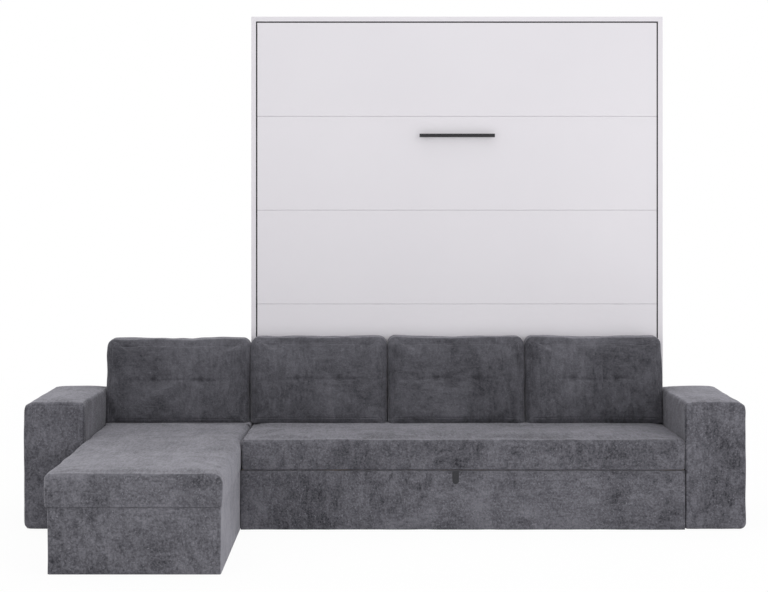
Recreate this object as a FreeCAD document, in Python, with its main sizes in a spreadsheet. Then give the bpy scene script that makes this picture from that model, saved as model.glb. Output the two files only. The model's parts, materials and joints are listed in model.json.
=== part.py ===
import FreeCAD
import Part
import math
import os
import re

# Wall bed with a corner sofa built in front of it.
# Millimetres. X runs to the right along the wall, Y towards the wall, Z up.
# The origin is on the floor, in the middle of the whole unit's plan.
# Setback means how far something lies behind the cabinet's front plane.

DIMENSIONS = {
    # cabinet
    "cabinet_width": 1785,
    "cabinet_height": 2095,
    "cabinet_depth": 460,
    "cabinet_board": 22,
    "base_board": 16,
    "rear_board": 18,
    "rear_rail_high": 120,
    "rear_rail_low": 150,
    "reveal": 4.5,
    "wall_hole_radius": 5.5,
    "wall_hole_inset": 170.5,
    "wall_hole_step": 60,
    "wall_plate_width": 50,
    "wall_plate_height": 100,
    "plate_thickness": 3,
    # folding front
    "floor_gap": 36,
    "front_board": 18,
    "board_groove": 1.8,
    "rail_thickness": 25,
    "rail_depth": 100,
    "rail_inset": 2.5,
    "side_slot": 38,
    "slot_shift": 1,
    "end_rail_width": 40,
    "beam_width": 40,
    "batten_width": 70,
    "beam_depth": 17,
    "slat_thickness": 8,
    "slat_width": 63,
    "slat_end_gap": 2,
    "slat_margin": 110,
    "holder_depth": 6,
    "holder_length": 32,
    "holder_wall": 4,
    # mattress
    "mattress_thickness": 160,
    "mattress_gap": 7.5,
    "mattress_rise": 22,
    "mattress_top_gap": 15,
    "mattress_round": 28,
    "strap_width": 50,
    "strap_thickness": 1.6,
    "strap_inset": 420,
    "soft_gap": 0.3,
    "cut_overrun": 5,
    # handle
    "handle_length": 326,
    "handle_height": 15,
    "handle_depth": 10,
    "handle_standoff": 22,
    "handle_drop": 82.64,
    "handle_post_radius": 5,
    "handle_post_inset": 27,
    # pivot and stops
    "pivot_setback": 50,
    "bed_seat_gap": 8,
    "pivot_pin_radius": 10,
    "running_gap": 0.05,
    "bushing_wall": 4,
    "mechanism_plate_width": 96,
    "mechanism_plate_margin": 40,
    "stop_width": 48,
    "stop_depth": 30,
    "stop_height": 60,
    "stop_leg_gap": 135,
    # gas springs
    "spring_pin_setback": 80,
    "spring_pin_rise": 222,
    "spring_pin_radius": 5,
    "stud_setback": 70,
    "stud_drop": 80,
    "stud_radius": 6,
    "spring_radius": 13.5,
    "spring_rod_radius": 4,
    "spring_body_start": 14,
    "spring_body_length": 171,
    "spring_bore_depth": 110,
    "spring_engaged": 14,
    "spring_eye_radius": 10,
    "spring_neck_radius": 4.5,
    "spring_eye_width": 12,
    "rod_eye_width": 8,
    "rod_gap": 0.06,
    # fold-out leg
    "leg_pivot_setback": 110,
    "leg_pivot_drop": 30,
    "leg_dogleg": 52,
    "leg_bar_width": 30,
    "leg_bar_thickness": 8,
    "leg_stud_radius": 8,
    "leg_stud_end": 4,
    "leg_tube_radius": 12.5,
    "leg_tube_wall": 1.5,
    "leg_tube_gap": 10.5,
    "leg_pad_thickness": 2,
    "leg_pad_length": 60,
    "leg_pad_inset": 116.5,
    "leg_plate_width": 60,
    # sofa body
    "sofa_depth": 696,
    "chaise_reach": 834,
    "chaise_width": 622,
    "arm_width": 237.5,
    "arm_height": 500,
    "arm_panel_gap": 8.6,
    "chaise_panel_gap": 14.4,
    "glide_height": 5,
    "glide_radius": 16,
    "glide_inset": 45,
    "base_height": 230,
    "sofa_board": 16,
    "cushion_height": 118.7,
    "seat_crown": 6,
    "seat_round": 14,
    "arm_round_outer": 35,
    "arm_round_inner": 13,
    "arm_round_front": 14,
    "arm_crown": 5,
    "arm_cover_wall": 12,
    "edge_gap": 1,
    # drawer
    "drawer_front_gap": 4,
    "drawer_cover_depth": 14,
    "drawer_cover_wrap": 12,
    "drawer_cover_rim": 3,
    "drawer_cover_round": 6,
    "drawer_top_gap": 3.3,
    "drawer_back_gap": 50,
    "drawer_board": 15,
    "drawer_head_gap": 28,
    "drawer_floor": 8,
    "drawer_floor_level": 18,
    "runner_thickness": 6,
    "runner_play": 0.3,
    "runner_height": 45,
    "runner_tongue": 26,
    "runner_rise": 90,
    "pull_width": 26,
    "pull_length": 51,
    "pull_thickness": 2.4,
    "pull_offset": 32.9,
    # chaise
    "chaise_skin": 6,
    "chaise_base_inset_left": 13.5,
    "chaise_base_inset_right": 5.5,
    "chaise_front_inset": 5,
    "chaise_floor": 8,
    "lid_board": 12,
    "lid_crown": 4,
    "lid_round": 13,
    "hinge_setback": 203.2,
    "hinge_drop": 4,
    "hinge_knuckle_radius": 3.2,
    "hinge_pin_radius": 1.5,
    "hinge_leaf": 1.5,
    "hinge_leaf_height": 55,
    "hinge_margin": 18,
    "hinge_beam_drop": 10,
    "backrest_depth": 120,
    "backrest_height": 600,
    "backrest_gap": 4.4,
    "backrest_round": 18,
    # loose back cushions
    "back_cushion_height": 355,
    "back_cushion_foot": 186,
    "back_cushion_head": 118,
    "back_cushion_crown": 14,
    "back_cushion_round": 40,
    "back_cushion_gap": 1,
    "back_cushion_overhang": 8.5,
    "back_cushion_arm_gap": 2.5,
    "tuft_radius": 70,
    "tuft_depth": 7,
    "tuft_drop": 158,
}

SLAT_ROWS = 14
BOARD_COUNT = 5
CUSHION_COUNT = 3
ROUND_STEPS = 4

PLACES = {
    # plan
    "front_y": "(sofa_depth + chaise_reach - cabinet_depth) / 2",
    "wall_y": "front_y + cabinet_depth",
    "sofa_front_y": "front_y - sofa_depth",
    "chaise_front_y": "sofa_front_y - chaise_reach",
    "inner_half": "cabinet_width / 2 - cabinet_board",
    "panel_half": "inner_half - reveal",
    "rail_outer": "inner_half - side_slot",
    "rail_inner": "rail_outer - rail_thickness",
    "mattress_half": "rail_inner - mattress_gap",
    "seat_width": "2 * panel_half + arm_panel_gap + chaise_panel_gap",
    "arm_inner": "(chaise_width + seat_width) / 2",
    "arm_outer": "arm_inner + arm_width",
    "cabinet_x": "arm_inner - arm_panel_gap - panel_half",
    "seat_left": "chaise_width - arm_inner",
    # heights
    "base_top": "glide_height + base_height",
    "cushion_bottom": "base_top + soft_gap",
    "seat_top": "cushion_bottom + cushion_height",
    "pivot_z": "seat_top + seat_crown + bed_seat_gap + pivot_setback",
    "pivot_y": "front_y + pivot_setback",
    "ceiling_z": "cabinet_height - cabinet_board",
    "panel_top": "ceiling_z - reveal",
    "panel_height": "panel_top - floor_gap",
    "board_height": "(panel_height - %d * board_groove) / %d" % (BOARD_COUNT - 1, BOARD_COUNT),
    "handle_z": "panel_top - board_height - board_groove - handle_drop",
    "rail_bottom": "floor_gap + rail_inset",
    "rail_top": "panel_top - rail_inset",
    "mattress_bottom": "floor_gap + mattress_rise",
    "mattress_top": "ceiling_z - mattress_top_gap",
    "deck_y": "front_y + front_board",
    "slat_y": "deck_y + beam_depth",
    "mattress_y": "slat_y + slat_thickness + soft_gap",
    "mattress_back_y": "mattress_y + mattress_thickness",
    "stop_y": "deck_y + rail_depth + soft_gap",
    # bed hardware
    "slot_middle": "rail_outer + side_slot / 2 - slot_shift",
    "plate_inner": "inner_half - plate_thickness",
    "spring_pin_y": "front_y + spring_pin_setback",
    "spring_pin_z": "pivot_z + spring_pin_rise",
    "stud_y": "front_y + stud_setback",
    "stud_z": "pivot_z - stud_drop",
    "leg_pivot_y": "front_y + leg_pivot_setback",
    "leg_pivot_z": "panel_top - leg_pivot_drop",
    "leg_drop": "pivot_z + leg_pivot_setback - pivot_setback - leg_tube_radius - leg_pad_thickness",
    "leg_half": "slot_middle - leg_bar_thickness / 2",
    "stop_z": "leg_pivot_z - leg_drop - stop_leg_gap - stop_height",
    # sofa
    "deck_bottom": "base_top - sofa_board",
    "drawer_back_y": "sofa_front_y + drawer_cover_depth + sofa_board",
    "drawer_depth": "front_y - sofa_board - drawer_back_gap - drawer_back_y",
    "drawer_wall_z": "drawer_floor_level + drawer_floor",
    "drawer_wall_height": "deck_bottom - drawer_head_gap - drawer_wall_z",
    "base_left": "seat_left + edge_gap",
    "drawer_outer_left": "base_left + sofa_board + 2 * runner_thickness + runner_play",
    "drawer_outer_right": "arm_inner - sofa_board - 2 * runner_thickness - runner_play",
    "chaise_left": "chaise_base_inset_left + edge_gap - arm_inner",
    "chaise_right": "seat_left - chaise_base_inset_right",
    "chaise_skin_front_y": "chaise_front_y + chaise_front_inset",
    "chaise_board_front_y": "chaise_skin_front_y + chaise_skin",
    "lid_left": "edge_gap - arm_inner",
    "lid_right": "seat_left - edge_gap",
    "hinge_y": "front_y - hinge_setback",
    "hinge_z": "seat_top - hinge_drop",
    "hinge_beam_top": "hinge_z - hinge_beam_drop",
    "lid_back_y": "hinge_y - hinge_knuckle_radius",
    "rear_cushion_y": "hinge_y + hinge_knuckle_radius",
    "back_cushion_bottom": "seat_top + seat_crown + soft_gap",
    "back_cushion_span": "seat_width + back_cushion_overhang - back_cushion_arm_gap",
}

TUFT_WIDTH_SHARES = (0.34, 0.66)
FOOT_INSET_SHARE = 0.3
BACK_INSET_SHARE = 0.45
FRONT_INSET_SHARE = 0.6
CROWN_EDGE_SHARE = 0.35
HEAD_SAG_SHARE = 0.4
FOOT_ROUND_SHARE = 0.45
END_ROUND_SHARE = 0.5
SPACER_SHARES = (0.2, 0.75)
TUFT_FACE_SHARE = 0.85

SIDES = {"left": -1, "right": 1}
X_AXIS = FreeCAD.Vector(1, 0, 0)
Y_AXIS = FreeCAD.Vector(0, 1, 0)

doc = FreeCAD.newDocument("WallBed")
published = []


def fill_sheet(name, rows):
    """One sheet with a word alias for every row."""
    sheet = doc.addObject("Spreadsheet::Sheet", name)
    for number, (alias, content) in enumerate(rows.items(), start=1):
        sheet.set("A%d" % number, content)
        sheet.setAlias("A%d" % number, alias)
    doc.recompute()
    return sheet


def formula(text):
    """Expression text in which each plain name points at its sheet cell."""

    def cell(found):
        word = found.group(0)
        if word in DIMENSIONS:
            return "Dims." + word
        if word in PLACES:
            return "Places." + word
        return word

    return re.sub(r"[a-z][a-z0-9_]*", cell, str(text))


dims = fill_sheet("Dims", {alias: str(size) for alias, size in DIMENSIONS.items()})
places = doc.addObject("Spreadsheet::Sheet", "Places")
for row, (place_alias, place_text) in enumerate(PLACES.items(), start=1):
    places.set("A%d" % row, "=" + formula(place_text).replace("Places.", ""))
    places.setAlias("A%d" % row, place_alias)
    doc.recompute()


def size(alias):
    """A driving dimension or a derived place, as a plain number."""
    sheet = dims if alias in DIMENSIONS else places
    return float(sheet.get(alias))


def bind(thing, **properties):
    """Bind properties of an object to expressions over the sheets."""
    for name, text in properties.items():
        thing.setExpression(name, formula(text))
    return thing


def move(thing, x="0", y="0", z="0"):
    """Bind the object's place."""
    thing.setExpression("Placement.Base.x", formula(x))
    thing.setExpression("Placement.Base.y", formula(y))
    thing.setExpression("Placement.Base.z", formula(z))
    return thing


def box(name, extent, corner):
    """A block from its extents and its lowest corner."""
    block = doc.addObject("Part::Box", name)
    bind(block, Length=extent[0], Width=extent[1], Height=extent[2])
    return move(block, *corner)


def cylinder(name, radius, length, start, axis="Z"):
    """A round bar from the middle of its first end."""
    bar = doc.addObject("Part::Cylinder", name)
    if axis == "X":
        bar.Placement.Rotation = FreeCAD.Rotation(Y_AXIS, 90)
    if axis == "Y":
        bar.Placement.Rotation = FreeCAD.Rotation(X_AXIS, -90)
    bind(bar, Radius=radius, Height=length)
    return move(bar, *start)


def cut(name, base, tool):
    """The base less the tool."""
    piece = doc.addObject("Part::Cut", name)
    piece.Base = base
    piece.Tool = tool
    return piece


def fuse(name, pieces):
    """Several solids joined into one."""
    joined = doc.addObject("Part::MultiFuse", name)
    joined.Shapes = pieces
    joined.Refine = True
    return joined


def group(name, pieces):
    """Several separate solids kept as one node."""
    together = doc.addObject("Part::Compound", name)
    together.Links = pieces
    return together


def feature(name, shape):
    """A lofted or filleted shape made from the sheet's sizes."""
    thing = doc.addObject("Part::Feature", name)
    thing.Shape = shape
    return thing


def publish(piece, label):
    """Give a finished sub-part the name of its node."""
    piece.Label = label
    published.append(piece)
    return piece


def mirrored(side, near, extent):
    """Lowest X of a span that starts near the cabinet's middle plane on one side."""
    if SIDES[side] > 0:
        return "cabinet_x + (%s)" % near
    return "cabinet_x - (%s) - (%s)" % (near, extent)


# Rounded outlines and lofted cushions

def rounded_corner(before, corner, after, radius):
    """Start, middle and end of the tangent arc that rounds one corner."""
    to_before = (before - corner).normalize()
    to_after = (after - corner).normalize()
    half_angle = to_before.getAngle(to_after) / 2
    reach = radius / math.tan(half_angle)
    inward = (to_before + to_after).normalize()
    centre = corner + inward * (radius / math.sin(half_angle))
    return corner + to_before * reach, centre - inward * radius, corner + to_after * reach


def outline(corners, radii, sags):
    """Closed wire through rounded corners, each side a line or a shallow arc."""
    count = len(corners)
    arcs = []
    for index, corner in enumerate(corners):
        before = corners[index - 1]
        after = corners[(index + 1) % count]
        arcs.append(rounded_corner(before, corner, after, radii[index]))
    middle = sum(corners, FreeCAD.Vector()) * (1 / count)
    edges = []
    for index, (start, crest, end) in enumerate(arcs):
        following = arcs[(index + 1) % count][0]
        edges.append(Part.Arc(start, crest, end).toShape())
        half_way = (end + following) * 0.5
        along = (following - end).normalize()
        outward = half_way - middle
        outward = (outward - along * outward.dot(along)).normalize()
        if not sags[index]:
            edges.append(Part.LineSegment(end, following).toShape())
        else:
            edges.append(Part.Arc(end, half_way + outward * sags[index], following).toShape())
    return Part.Wire(edges)


def stations(low, high, rounding):
    """Places along a cushion with how far the outline is drawn in at each."""
    steps = []
    for step in range(ROUND_STEPS):
        angle = math.pi / 2 * step / (ROUND_STEPS - 1)
        steps.append((rounding * (1 - math.cos(angle)), rounding * (1 - math.sin(angle))))
    lower = [(low + along, drawn) for along, drawn in steps]
    upper = [(high - along, drawn) for along, drawn in reversed(steps)]
    return lower + [((low + high) / 2, None)] + upper


def slab_section(across, low, high, bottom, top, radii, crown, drawn, plane):
    """Section of an upholstered slab: flat underside, crowned top."""
    full = drawn is None
    inset = 0 if full else drawn
    sag = crown if full else crown * CROWN_EDGE_SHARE
    spans = [
        (low + inset * FRONT_INSET_SHARE, bottom + inset * FOOT_INSET_SHARE),
        (high - inset * FRONT_INSET_SHARE, bottom + inset * FOOT_INSET_SHARE),
        (high - inset * FRONT_INSET_SHARE, top - inset),
        (low + inset * FRONT_INSET_SHARE, top - inset),
    ]
    corners = [plane(across, a, b) for a, b in spans]
    return outline(corners, radii, (0, 0, sag, 0))


def slab(ends, rounding, width, heights, radii, crown, plane):
    """Loft an upholstered slab through its sections."""
    wires = []
    for across, drawn in stations(ends[0], ends[1], rounding):
        wires.append(slab_section(across, width[0], width[1], heights[0], heights[1],
                                  radii, crown, drawn, plane))
    return Part.makeLoft(wires, True, True)


def along_x(across, a, b):
    """Section plane square to X: a is Y and b is Z."""
    return FreeCAD.Vector(across, a, b)


def along_y(across, a, b):
    """Section plane square to Y: a is X and b is Z."""
    return FreeCAD.Vector(a, across, b)


# Cabinet

def build_cabinet():
    """Two sides, top, base board and the rear rails that screw to the wall."""
    side_height = "cabinet_height - cabinet_board"
    for side in SIDES:
        board = box("CabinetSide" + side, ("cabinet_board", "cabinet_depth", side_height),
                    (mirrored(side, "inner_half", "cabinet_board"), "front_y", "0"))
        publish(board, "cabinet_side_" + side)
    top = box("CabinetTop", ("cabinet_width", "cabinet_depth", "cabinet_board"),
              ("cabinet_x - cabinet_width / 2", "front_y", "ceiling_z"))
    publish(top, "cabinet_top")
    base = box("CabinetBase", ("2 * inner_half", "cabinet_depth", "base_board"),
               ("cabinet_x - inner_half", "front_y", "0"))
    publish(base, "cabinet_base_board")
    rail_y = "wall_y - rear_board"
    low = box("RearRailLow", ("2 * inner_half", "rear_board", "rear_rail_low"),
              ("cabinet_x - inner_half", rail_y, "base_board"))
    publish(low, "cabinet_rear_rail_bottom")
    high = box("RearRailHigh", ("2 * inner_half", "rear_board", "rear_rail_high"),
               ("cabinet_x - inner_half", rail_y, "ceiling_z - rear_rail_high"))
    holes = []
    plates = []
    for side, sign in SIDES.items():
        centre = "cabinet_x + (%d) * (inner_half - wall_hole_inset)" % sign
        plate = box("WallPlate" + side, ("wall_plate_width", "plate_thickness", "wall_plate_height"),
                    (centre + " - wall_plate_width / 2", rail_y + " - plate_thickness",
                     "ceiling_z - rear_rail_high / 2 - wall_plate_height / 2"))
        bores = []
        for step in (-1, 1):
            level = "ceiling_z - rear_rail_high / 2 + (%d) * wall_hole_step / 2" % step
            name = "%s%d" % (side, step + 1)
            start = (centre, rail_y + " - plate_thickness - cut_overrun", level)
            length = "rear_board + plate_thickness + 2 * cut_overrun"
            holes.append(cylinder("RailHole" + name, "wall_hole_radius", length, start, "Y"))
            bores.append(cylinder("PlateHole" + name, "wall_hole_radius", length, start, "Y"))
        plates.append(cut("WallPlateDrilled" + side, plate, group("PlateHoles" + side, bores)))
    publish(cut("RearRailDrilled", high, group("RailHoles", holes)), "cabinet_rear_rail_top")
    publish(group("WallPlates", plates), "wall_plates")


def build_mechanism():
    """Side plates with the bed's pivot pins and the gas springs' upper pins, and the stops."""
    plates = []
    stops = []
    for side in SIDES:
        plate_z = "pivot_z - mechanism_plate_margin"
        plate_height = "spring_pin_rise + 2 * mechanism_plate_margin"
        plate = box("SidePlate" + side, ("plate_thickness", "mechanism_plate_width", plate_height),
                    (mirrored(side, "plate_inner", "plate_thickness"),
                     "pivot_y - mechanism_plate_margin", plate_z))
        pin_length = "plate_inner - rail_inner"
        pin = cylinder("PivotPin" + side, "pivot_pin_radius", pin_length,
                       (mirrored(side, "rail_inner", pin_length), "pivot_y", "pivot_z"), "X")
        eye_near = "slot_middle - spring_eye_width / 2"
        spring_pin_length = "plate_inner - (%s)" % eye_near
        spring_pin = cylinder("SpringPin" + side, "spring_pin_radius", spring_pin_length,
                              (mirrored(side, eye_near, spring_pin_length),
                               "spring_pin_y", "spring_pin_z"), "X")
        plates.append(fuse("MechanismPlate" + side, [plate, pin, spring_pin]))
        stops.append(box("BedStop" + side, ("stop_width", "stop_depth", "stop_height"),
                         (mirrored(side, "inner_half - stop_width", "stop_width"),
                          "stop_y", "stop_z")))
    publish(group("MechanismPlates", plates), "mechanism_plates")
    publish(group("BedStops", stops), "bed_stop_blocks")


# Folding bed

def build_front():
    """Five boards one above the other with fine grooves between them."""
    for index in range(BOARD_COUNT):
        bottom = "floor_gap + %d * (board_height + board_groove)" % index
        board = box("FrontBoard%d" % (index + 1),
                    ("2 * panel_half", "front_board", "board_height"),
                    ("cabinet_x - panel_half", "front_y", bottom))
        publish(board, "front_board_%d" % (index + 1))


def build_bed_frame():
    """Side rails, end rails, beams, slats and their holders."""
    rail_length = "rail_top - rail_bottom"
    for side in SIDES:
        rail = box("BedRail" + side, ("rail_thickness", "rail_depth", rail_length),
                   (mirrored(side, "rail_inner", "rail_thickness"), "deck_y", "rail_bottom"))
        seat = cylinder("BushingSeat" + side, "pivot_pin_radius + running_gap + bushing_wall",
                        "rail_thickness + 2 * cut_overrun",
                        (mirrored(side, "rail_inner - cut_overrun",
                                  "rail_thickness + 2 * cut_overrun"),
                         "pivot_y", "pivot_z"), "X")
        publish(cut("BedSideRail" + side, rail, seat), "bed_side_rail_" + side)
    beams = []
    end_depth = "beam_depth + slat_thickness"
    for name, level in (("Low", "rail_bottom"), ("High", "rail_top - end_rail_width")):
        beams.append(box("EndRail" + name, ("2 * rail_inner", end_depth, "end_rail_width"),
                        ("cabinet_x - rail_inner", "deck_y", level)))
    beam_bottom = "rail_bottom + end_rail_width"
    beam_length = "rail_top - rail_bottom - 2 * end_rail_width"
    beams.append(box("CentreBeam", ("beam_width", "beam_depth", beam_length),
                     ("cabinet_x - beam_width / 2", "deck_y", beam_bottom)))
    for side in SIDES:
        beams.append(box("Batten" + side, ("batten_width", "beam_depth", beam_length),
                         (mirrored(side, "rail_inner / 2", "batten_width"), "deck_y", beam_bottom)))
    publish(group("BedInnerBeams", beams), "bed_inner_beams")
    build_slats()
    bushings = []
    for side in SIDES:
        start = (mirrored(side, "rail_inner", "rail_thickness"), "pivot_y", "pivot_z")
        shell = cylinder("BushingBody" + side, "pivot_pin_radius + running_gap + bushing_wall",
                         "rail_thickness", start, "X")
        bore = cylinder("BushingBore" + side, "pivot_pin_radius + running_gap",
                        "rail_thickness", start, "X")
        bushings.append(cut("Bushing" + side, shell, bore))
    publish(group("PivotBushings", bushings), "pivot_bushings")


def build_slats():
    """Two columns of sprung slats, held at the side rails and screwed to the beam."""
    slats = []
    holders = []
    pitch = "(rail_top - rail_bottom - 2 * slat_margin - slat_width) / %d" % (SLAT_ROWS - 1)
    length = "rail_inner - holder_wall - slat_end_gap"
    for row in range(SLAT_ROWS):
        level = "rail_bottom + slat_margin + %d * %s" % (row, pitch)
        for side in SIDES:
            name = "%s%d" % (side, row)
            slats.append(box("Slat" + name, (length, "slat_thickness", "slat_width"),
                             (mirrored(side, "slat_end_gap", length), "slat_y", level)))
            block = box("HolderBlock" + name,
                        ("holder_length", "holder_depth + slat_thickness",
                         "slat_width + 2 * holder_wall"),
                        (mirrored(side, "rail_inner - holder_length", "holder_length"),
                         "slat_y - holder_depth", level + " - holder_wall"))
            slot = box("HolderSlot" + name, ("holder_length", "slat_thickness", "slat_width"),
                       (mirrored(side, "rail_inner - holder_length - holder_wall", "holder_length"),
                        "slat_y", level))
            holders.append(cut("Holder" + name, block, slot))
    publish(group("Slats", slats), "slats")
    publish(group("SlatHolders", holders), "slat_holders")


def build_handle():
    """Square bar on two posts."""
    bar = box("HandleBar", ("handle_length", "handle_depth", "handle_height"),
              ("cabinet_x - handle_length / 2", "front_y - handle_standoff - handle_depth",
               "handle_z - handle_height / 2"))
    publish(bar, "handle_bar")
    posts = []
    for side, sign in SIDES.items():
        posts.append(cylinder("HandlePost" + side, "handle_post_radius", "handle_standoff",
                              ("cabinet_x + (%d) * (handle_length / 2 - handle_post_inset)" % sign,
                               "front_y - handle_standoff", "handle_z"), "Y"))
    publish(group("HandlePosts", posts), "handle_posts")


def build_mattress():
    """Foam mattress with rounded edges and two holding straps."""
    low = FreeCAD.Vector(size("cabinet_x") - size("mattress_half"), size("mattress_y"),
                         size("mattress_bottom"))
    core = Part.makeBox(2 * size("mattress_half"), size("mattress_thickness"),
                        size("mattress_top") - size("mattress_bottom"))
    mattress = feature("Mattress", core.makeFillet(size("mattress_round"), core.Edges))
    mattress.Placement.Base = low
    publish(mattress, "mattress")
    straps = []
    top_y = "mattress_back_y + soft_gap"
    leg_start = "deck_y + rail_depth / 2"
    for index, level in enumerate(("mattress_bottom + strap_inset",
                                   "mattress_top - strap_inset - strap_width")):
        pieces = [box("StrapTop%d" % index, ("2 * rail_inner", "strap_thickness", "strap_width"),
                      ("cabinet_x - rail_inner", top_y, level))]
        for side in SIDES:
            pieces.append(box("StrapLeg%s%d" % (side, index),
                              ("strap_thickness", "%s - (%s)" % (top_y, leg_start), "strap_width"),
                              (mirrored(side, "rail_inner - strap_thickness", "strap_thickness"),
                               leg_start, level)))
        straps.append(fuse("Strap%d" % index, pieces))
    publish(group("MattressStraps", straps), "mattress_straps")


def spring_turn():
    """Angle about X that points a bar built along Z from the upper pin to the bed stud."""
    run = size("stud_y") - size("spring_pin_y")
    rise = size("stud_z") - size("spring_pin_z")
    return math.hypot(run, rise), math.degrees(math.atan2(-run, rise))


def build_gas_springs():
    """Cylinder and rod on each side, and the studs on the bed that the rods end at."""
    reach, turn = spring_turn()
    studs = []
    for side in SIDES:
        shell = cylinder("SpringShell" + side, "spring_radius", "spring_body_length",
                         ("0", "0", "spring_body_start"))
        neck = cylinder("SpringNeck" + side, "spring_neck_radius", "spring_body_start",
                        ("0", "0", "spring_eye_radius / 2"))
        eye = cylinder("SpringEye" + side, "spring_eye_radius", "spring_eye_width",
                       ("-spring_eye_width / 2", "0", "0"), "X")
        solid = fuse("SpringSolid" + side, [shell, neck, eye])
        pin_bore = cylinder("SpringEyeBore" + side, "spring_pin_radius + running_gap",
                            "2 * spring_eye_width", ("-spring_eye_width", "0", "0"), "X")
        rod_bore = cylinder("SpringRodBore" + side, "spring_rod_radius + rod_gap",
                            "spring_bore_depth + cut_overrun",
                            ("0", "0", "spring_body_start + spring_body_length - spring_bore_depth"))
        body = cut("SpringBody" + side, solid, group("SpringBores" + side, [pin_bore, rod_bore]))
        rod_start = size("spring_body_start") + size("spring_body_length") - size("spring_engaged")
        rod = doc.addObject("Part::Cylinder", "SpringRod" + side)
        bind(rod, Radius="spring_rod_radius")
        rod.Height = reach - rod_start
        rod.Placement.Base.z = rod_start
        rod_eye = cylinder("RodEye" + side, "spring_eye_radius", "rod_eye_width",
                           ("-rod_eye_width / 2", "0", "0"), "X")
        rod_eye.setExpression("Placement.Base.z", None)
        rod_eye.Placement.Base.z = reach
        rod_bar = fuse("RodBar" + side, [rod, rod_eye])
        place = FreeCAD.Placement(
            FreeCAD.Vector(size("cabinet_x") + SIDES[side] * size("slot_middle"),
                           size("spring_pin_y"), size("spring_pin_z")),
            FreeCAD.Rotation(X_AXIS, turn))
        body.Placement = place
        rod_bar.Placement = place
        publish(body, "gas_cylinder_" + side)
        publish(rod_bar, "gas_rod_" + side)
        stud_length = "slot_middle - rod_eye_width / 2 - soft_gap - rail_outer"
        studs.append(cylinder("SpringStud" + side, "stud_radius", stud_length,
                              (mirrored(side, "rail_outer", stud_length), "stud_y", "stud_z"), "X"))
    publish(group("SpringStuds", studs), "gas_spring_studs")


def leg_turn():
    """Angle about X from the leg's unfolded attitude, seen in the closed bed, to its stored one."""
    reach = math.hypot(size("leg_dogleg"), size("leg_drop"))
    bar_y = size("mattress_back_y") + size("leg_tube_gap") + size("leg_tube_radius")
    stored = math.asin((bar_y - size("leg_pivot_y")) / reach) - math.pi / 2
    unfolded = math.pi - math.atan2(size("leg_dogleg"), size("leg_drop"))
    return math.degrees(stored - unfolded)


def build_leg():
    """Fold-out leg: two bars, a cross tube with foot sleeves, and the brackets it turns on."""
    pivot = FreeCAD.Vector(size("cabinet_x"), size("leg_pivot_y"), size("leg_pivot_z"))
    place = FreeCAD.Placement(pivot, FreeCAD.Rotation(X_AXIS, leg_turn()))
    half = "leg_bar_width / 2"
    bars = []
    brackets = []
    for side in SIDES:
        local = "leg_half" if SIDES[side] > 0 else "-leg_half - leg_bar_thickness"
        beyond = local + " - cut_overrun"
        bore_length = "leg_bar_thickness + 2 * cut_overrun"
        hub = cylinder("LegHub" + side, half, "leg_bar_thickness", (local, "0", "0"), "X")
        short = box("LegShort" + side, ("leg_bar_thickness", "leg_bar_width", "leg_dogleg"),
                    (local, "-" + half, "0"))
        knee = cylinder("LegKnee" + side, half, "leg_bar_thickness",
                        (local, "0", "leg_dogleg"), "X")
        long = box("LegLong" + side, ("leg_bar_thickness", "leg_drop", "leg_bar_width"),
                   (local, "-leg_drop", "leg_dogleg - " + half))
        toe = cylinder("LegToe" + side, "leg_tube_radius", "leg_bar_thickness",
                       (local, "-leg_drop", "leg_dogleg"), "X")
        bar = fuse("LegSolid" + side, [hub, short, knee, long, toe])
        bore = cylinder("LegBore" + side, "leg_stud_radius + running_gap", bore_length,
                        (beyond, "0", "0"), "X")
        bars.append(cut("LegBar" + side, bar, bore))
        plate = box("LegPlate" + side, ("plate_thickness", "leg_plate_width", "leg_plate_width"),
                    (mirrored(side, "rail_outer", "plate_thickness"),
                     "leg_pivot_y - leg_plate_width + leg_stud_radius * 2",
                     "rail_top - leg_plate_width"))
        stud_length = "leg_half + leg_bar_thickness + leg_stud_end - rail_outer"
        stud = cylinder("LegStud" + side, "leg_stud_radius", stud_length,
                        (mirrored(side, "rail_outer", stud_length),
                         "leg_pivot_y", "leg_pivot_z"), "X")
        brackets.append(fuse("LegBracket" + side, [plate, stud]))
    arms = group("LegArms", bars)
    arms.Placement = place
    publish(arms, "leg_arms")
    tube_start = ("-leg_half", "-leg_drop", "leg_dogleg")
    tube = cylinder("LegTube", "leg_tube_radius", "2 * leg_half", tube_start, "X")
    core = cylinder("LegTubeCore", "leg_tube_radius - leg_tube_wall", "2 * leg_half",
                    tube_start, "X")
    crossbar = cut("LegCrossbar", tube, core)
    crossbar.Placement = place
    publish(crossbar, "leg_crossbar")
    pads = []
    for side in SIDES:
        near = "leg_half - leg_pad_inset - leg_pad_length"
        if SIDES[side] < 0:
            near = "leg_pad_inset - leg_half"
        start = (near, "-leg_drop", "leg_dogleg")
        sleeve = cylinder("PadSleeve" + side, "leg_tube_radius + leg_pad_thickness",
                          "leg_pad_length", start, "X")
        hole = cylinder("PadHole" + side, "leg_tube_radius", "leg_pad_length", start, "X")
        pads.append(cut("LegPad" + side, sleeve, hole))
    feet = group("LegFootPads", pads)
    feet.Placement = place
    publish(feet, "leg_foot_pads")
    publish(group("LegPivotBrackets", brackets), "leg_pivot_brackets")


# Sofa in front of the cabinet

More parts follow.
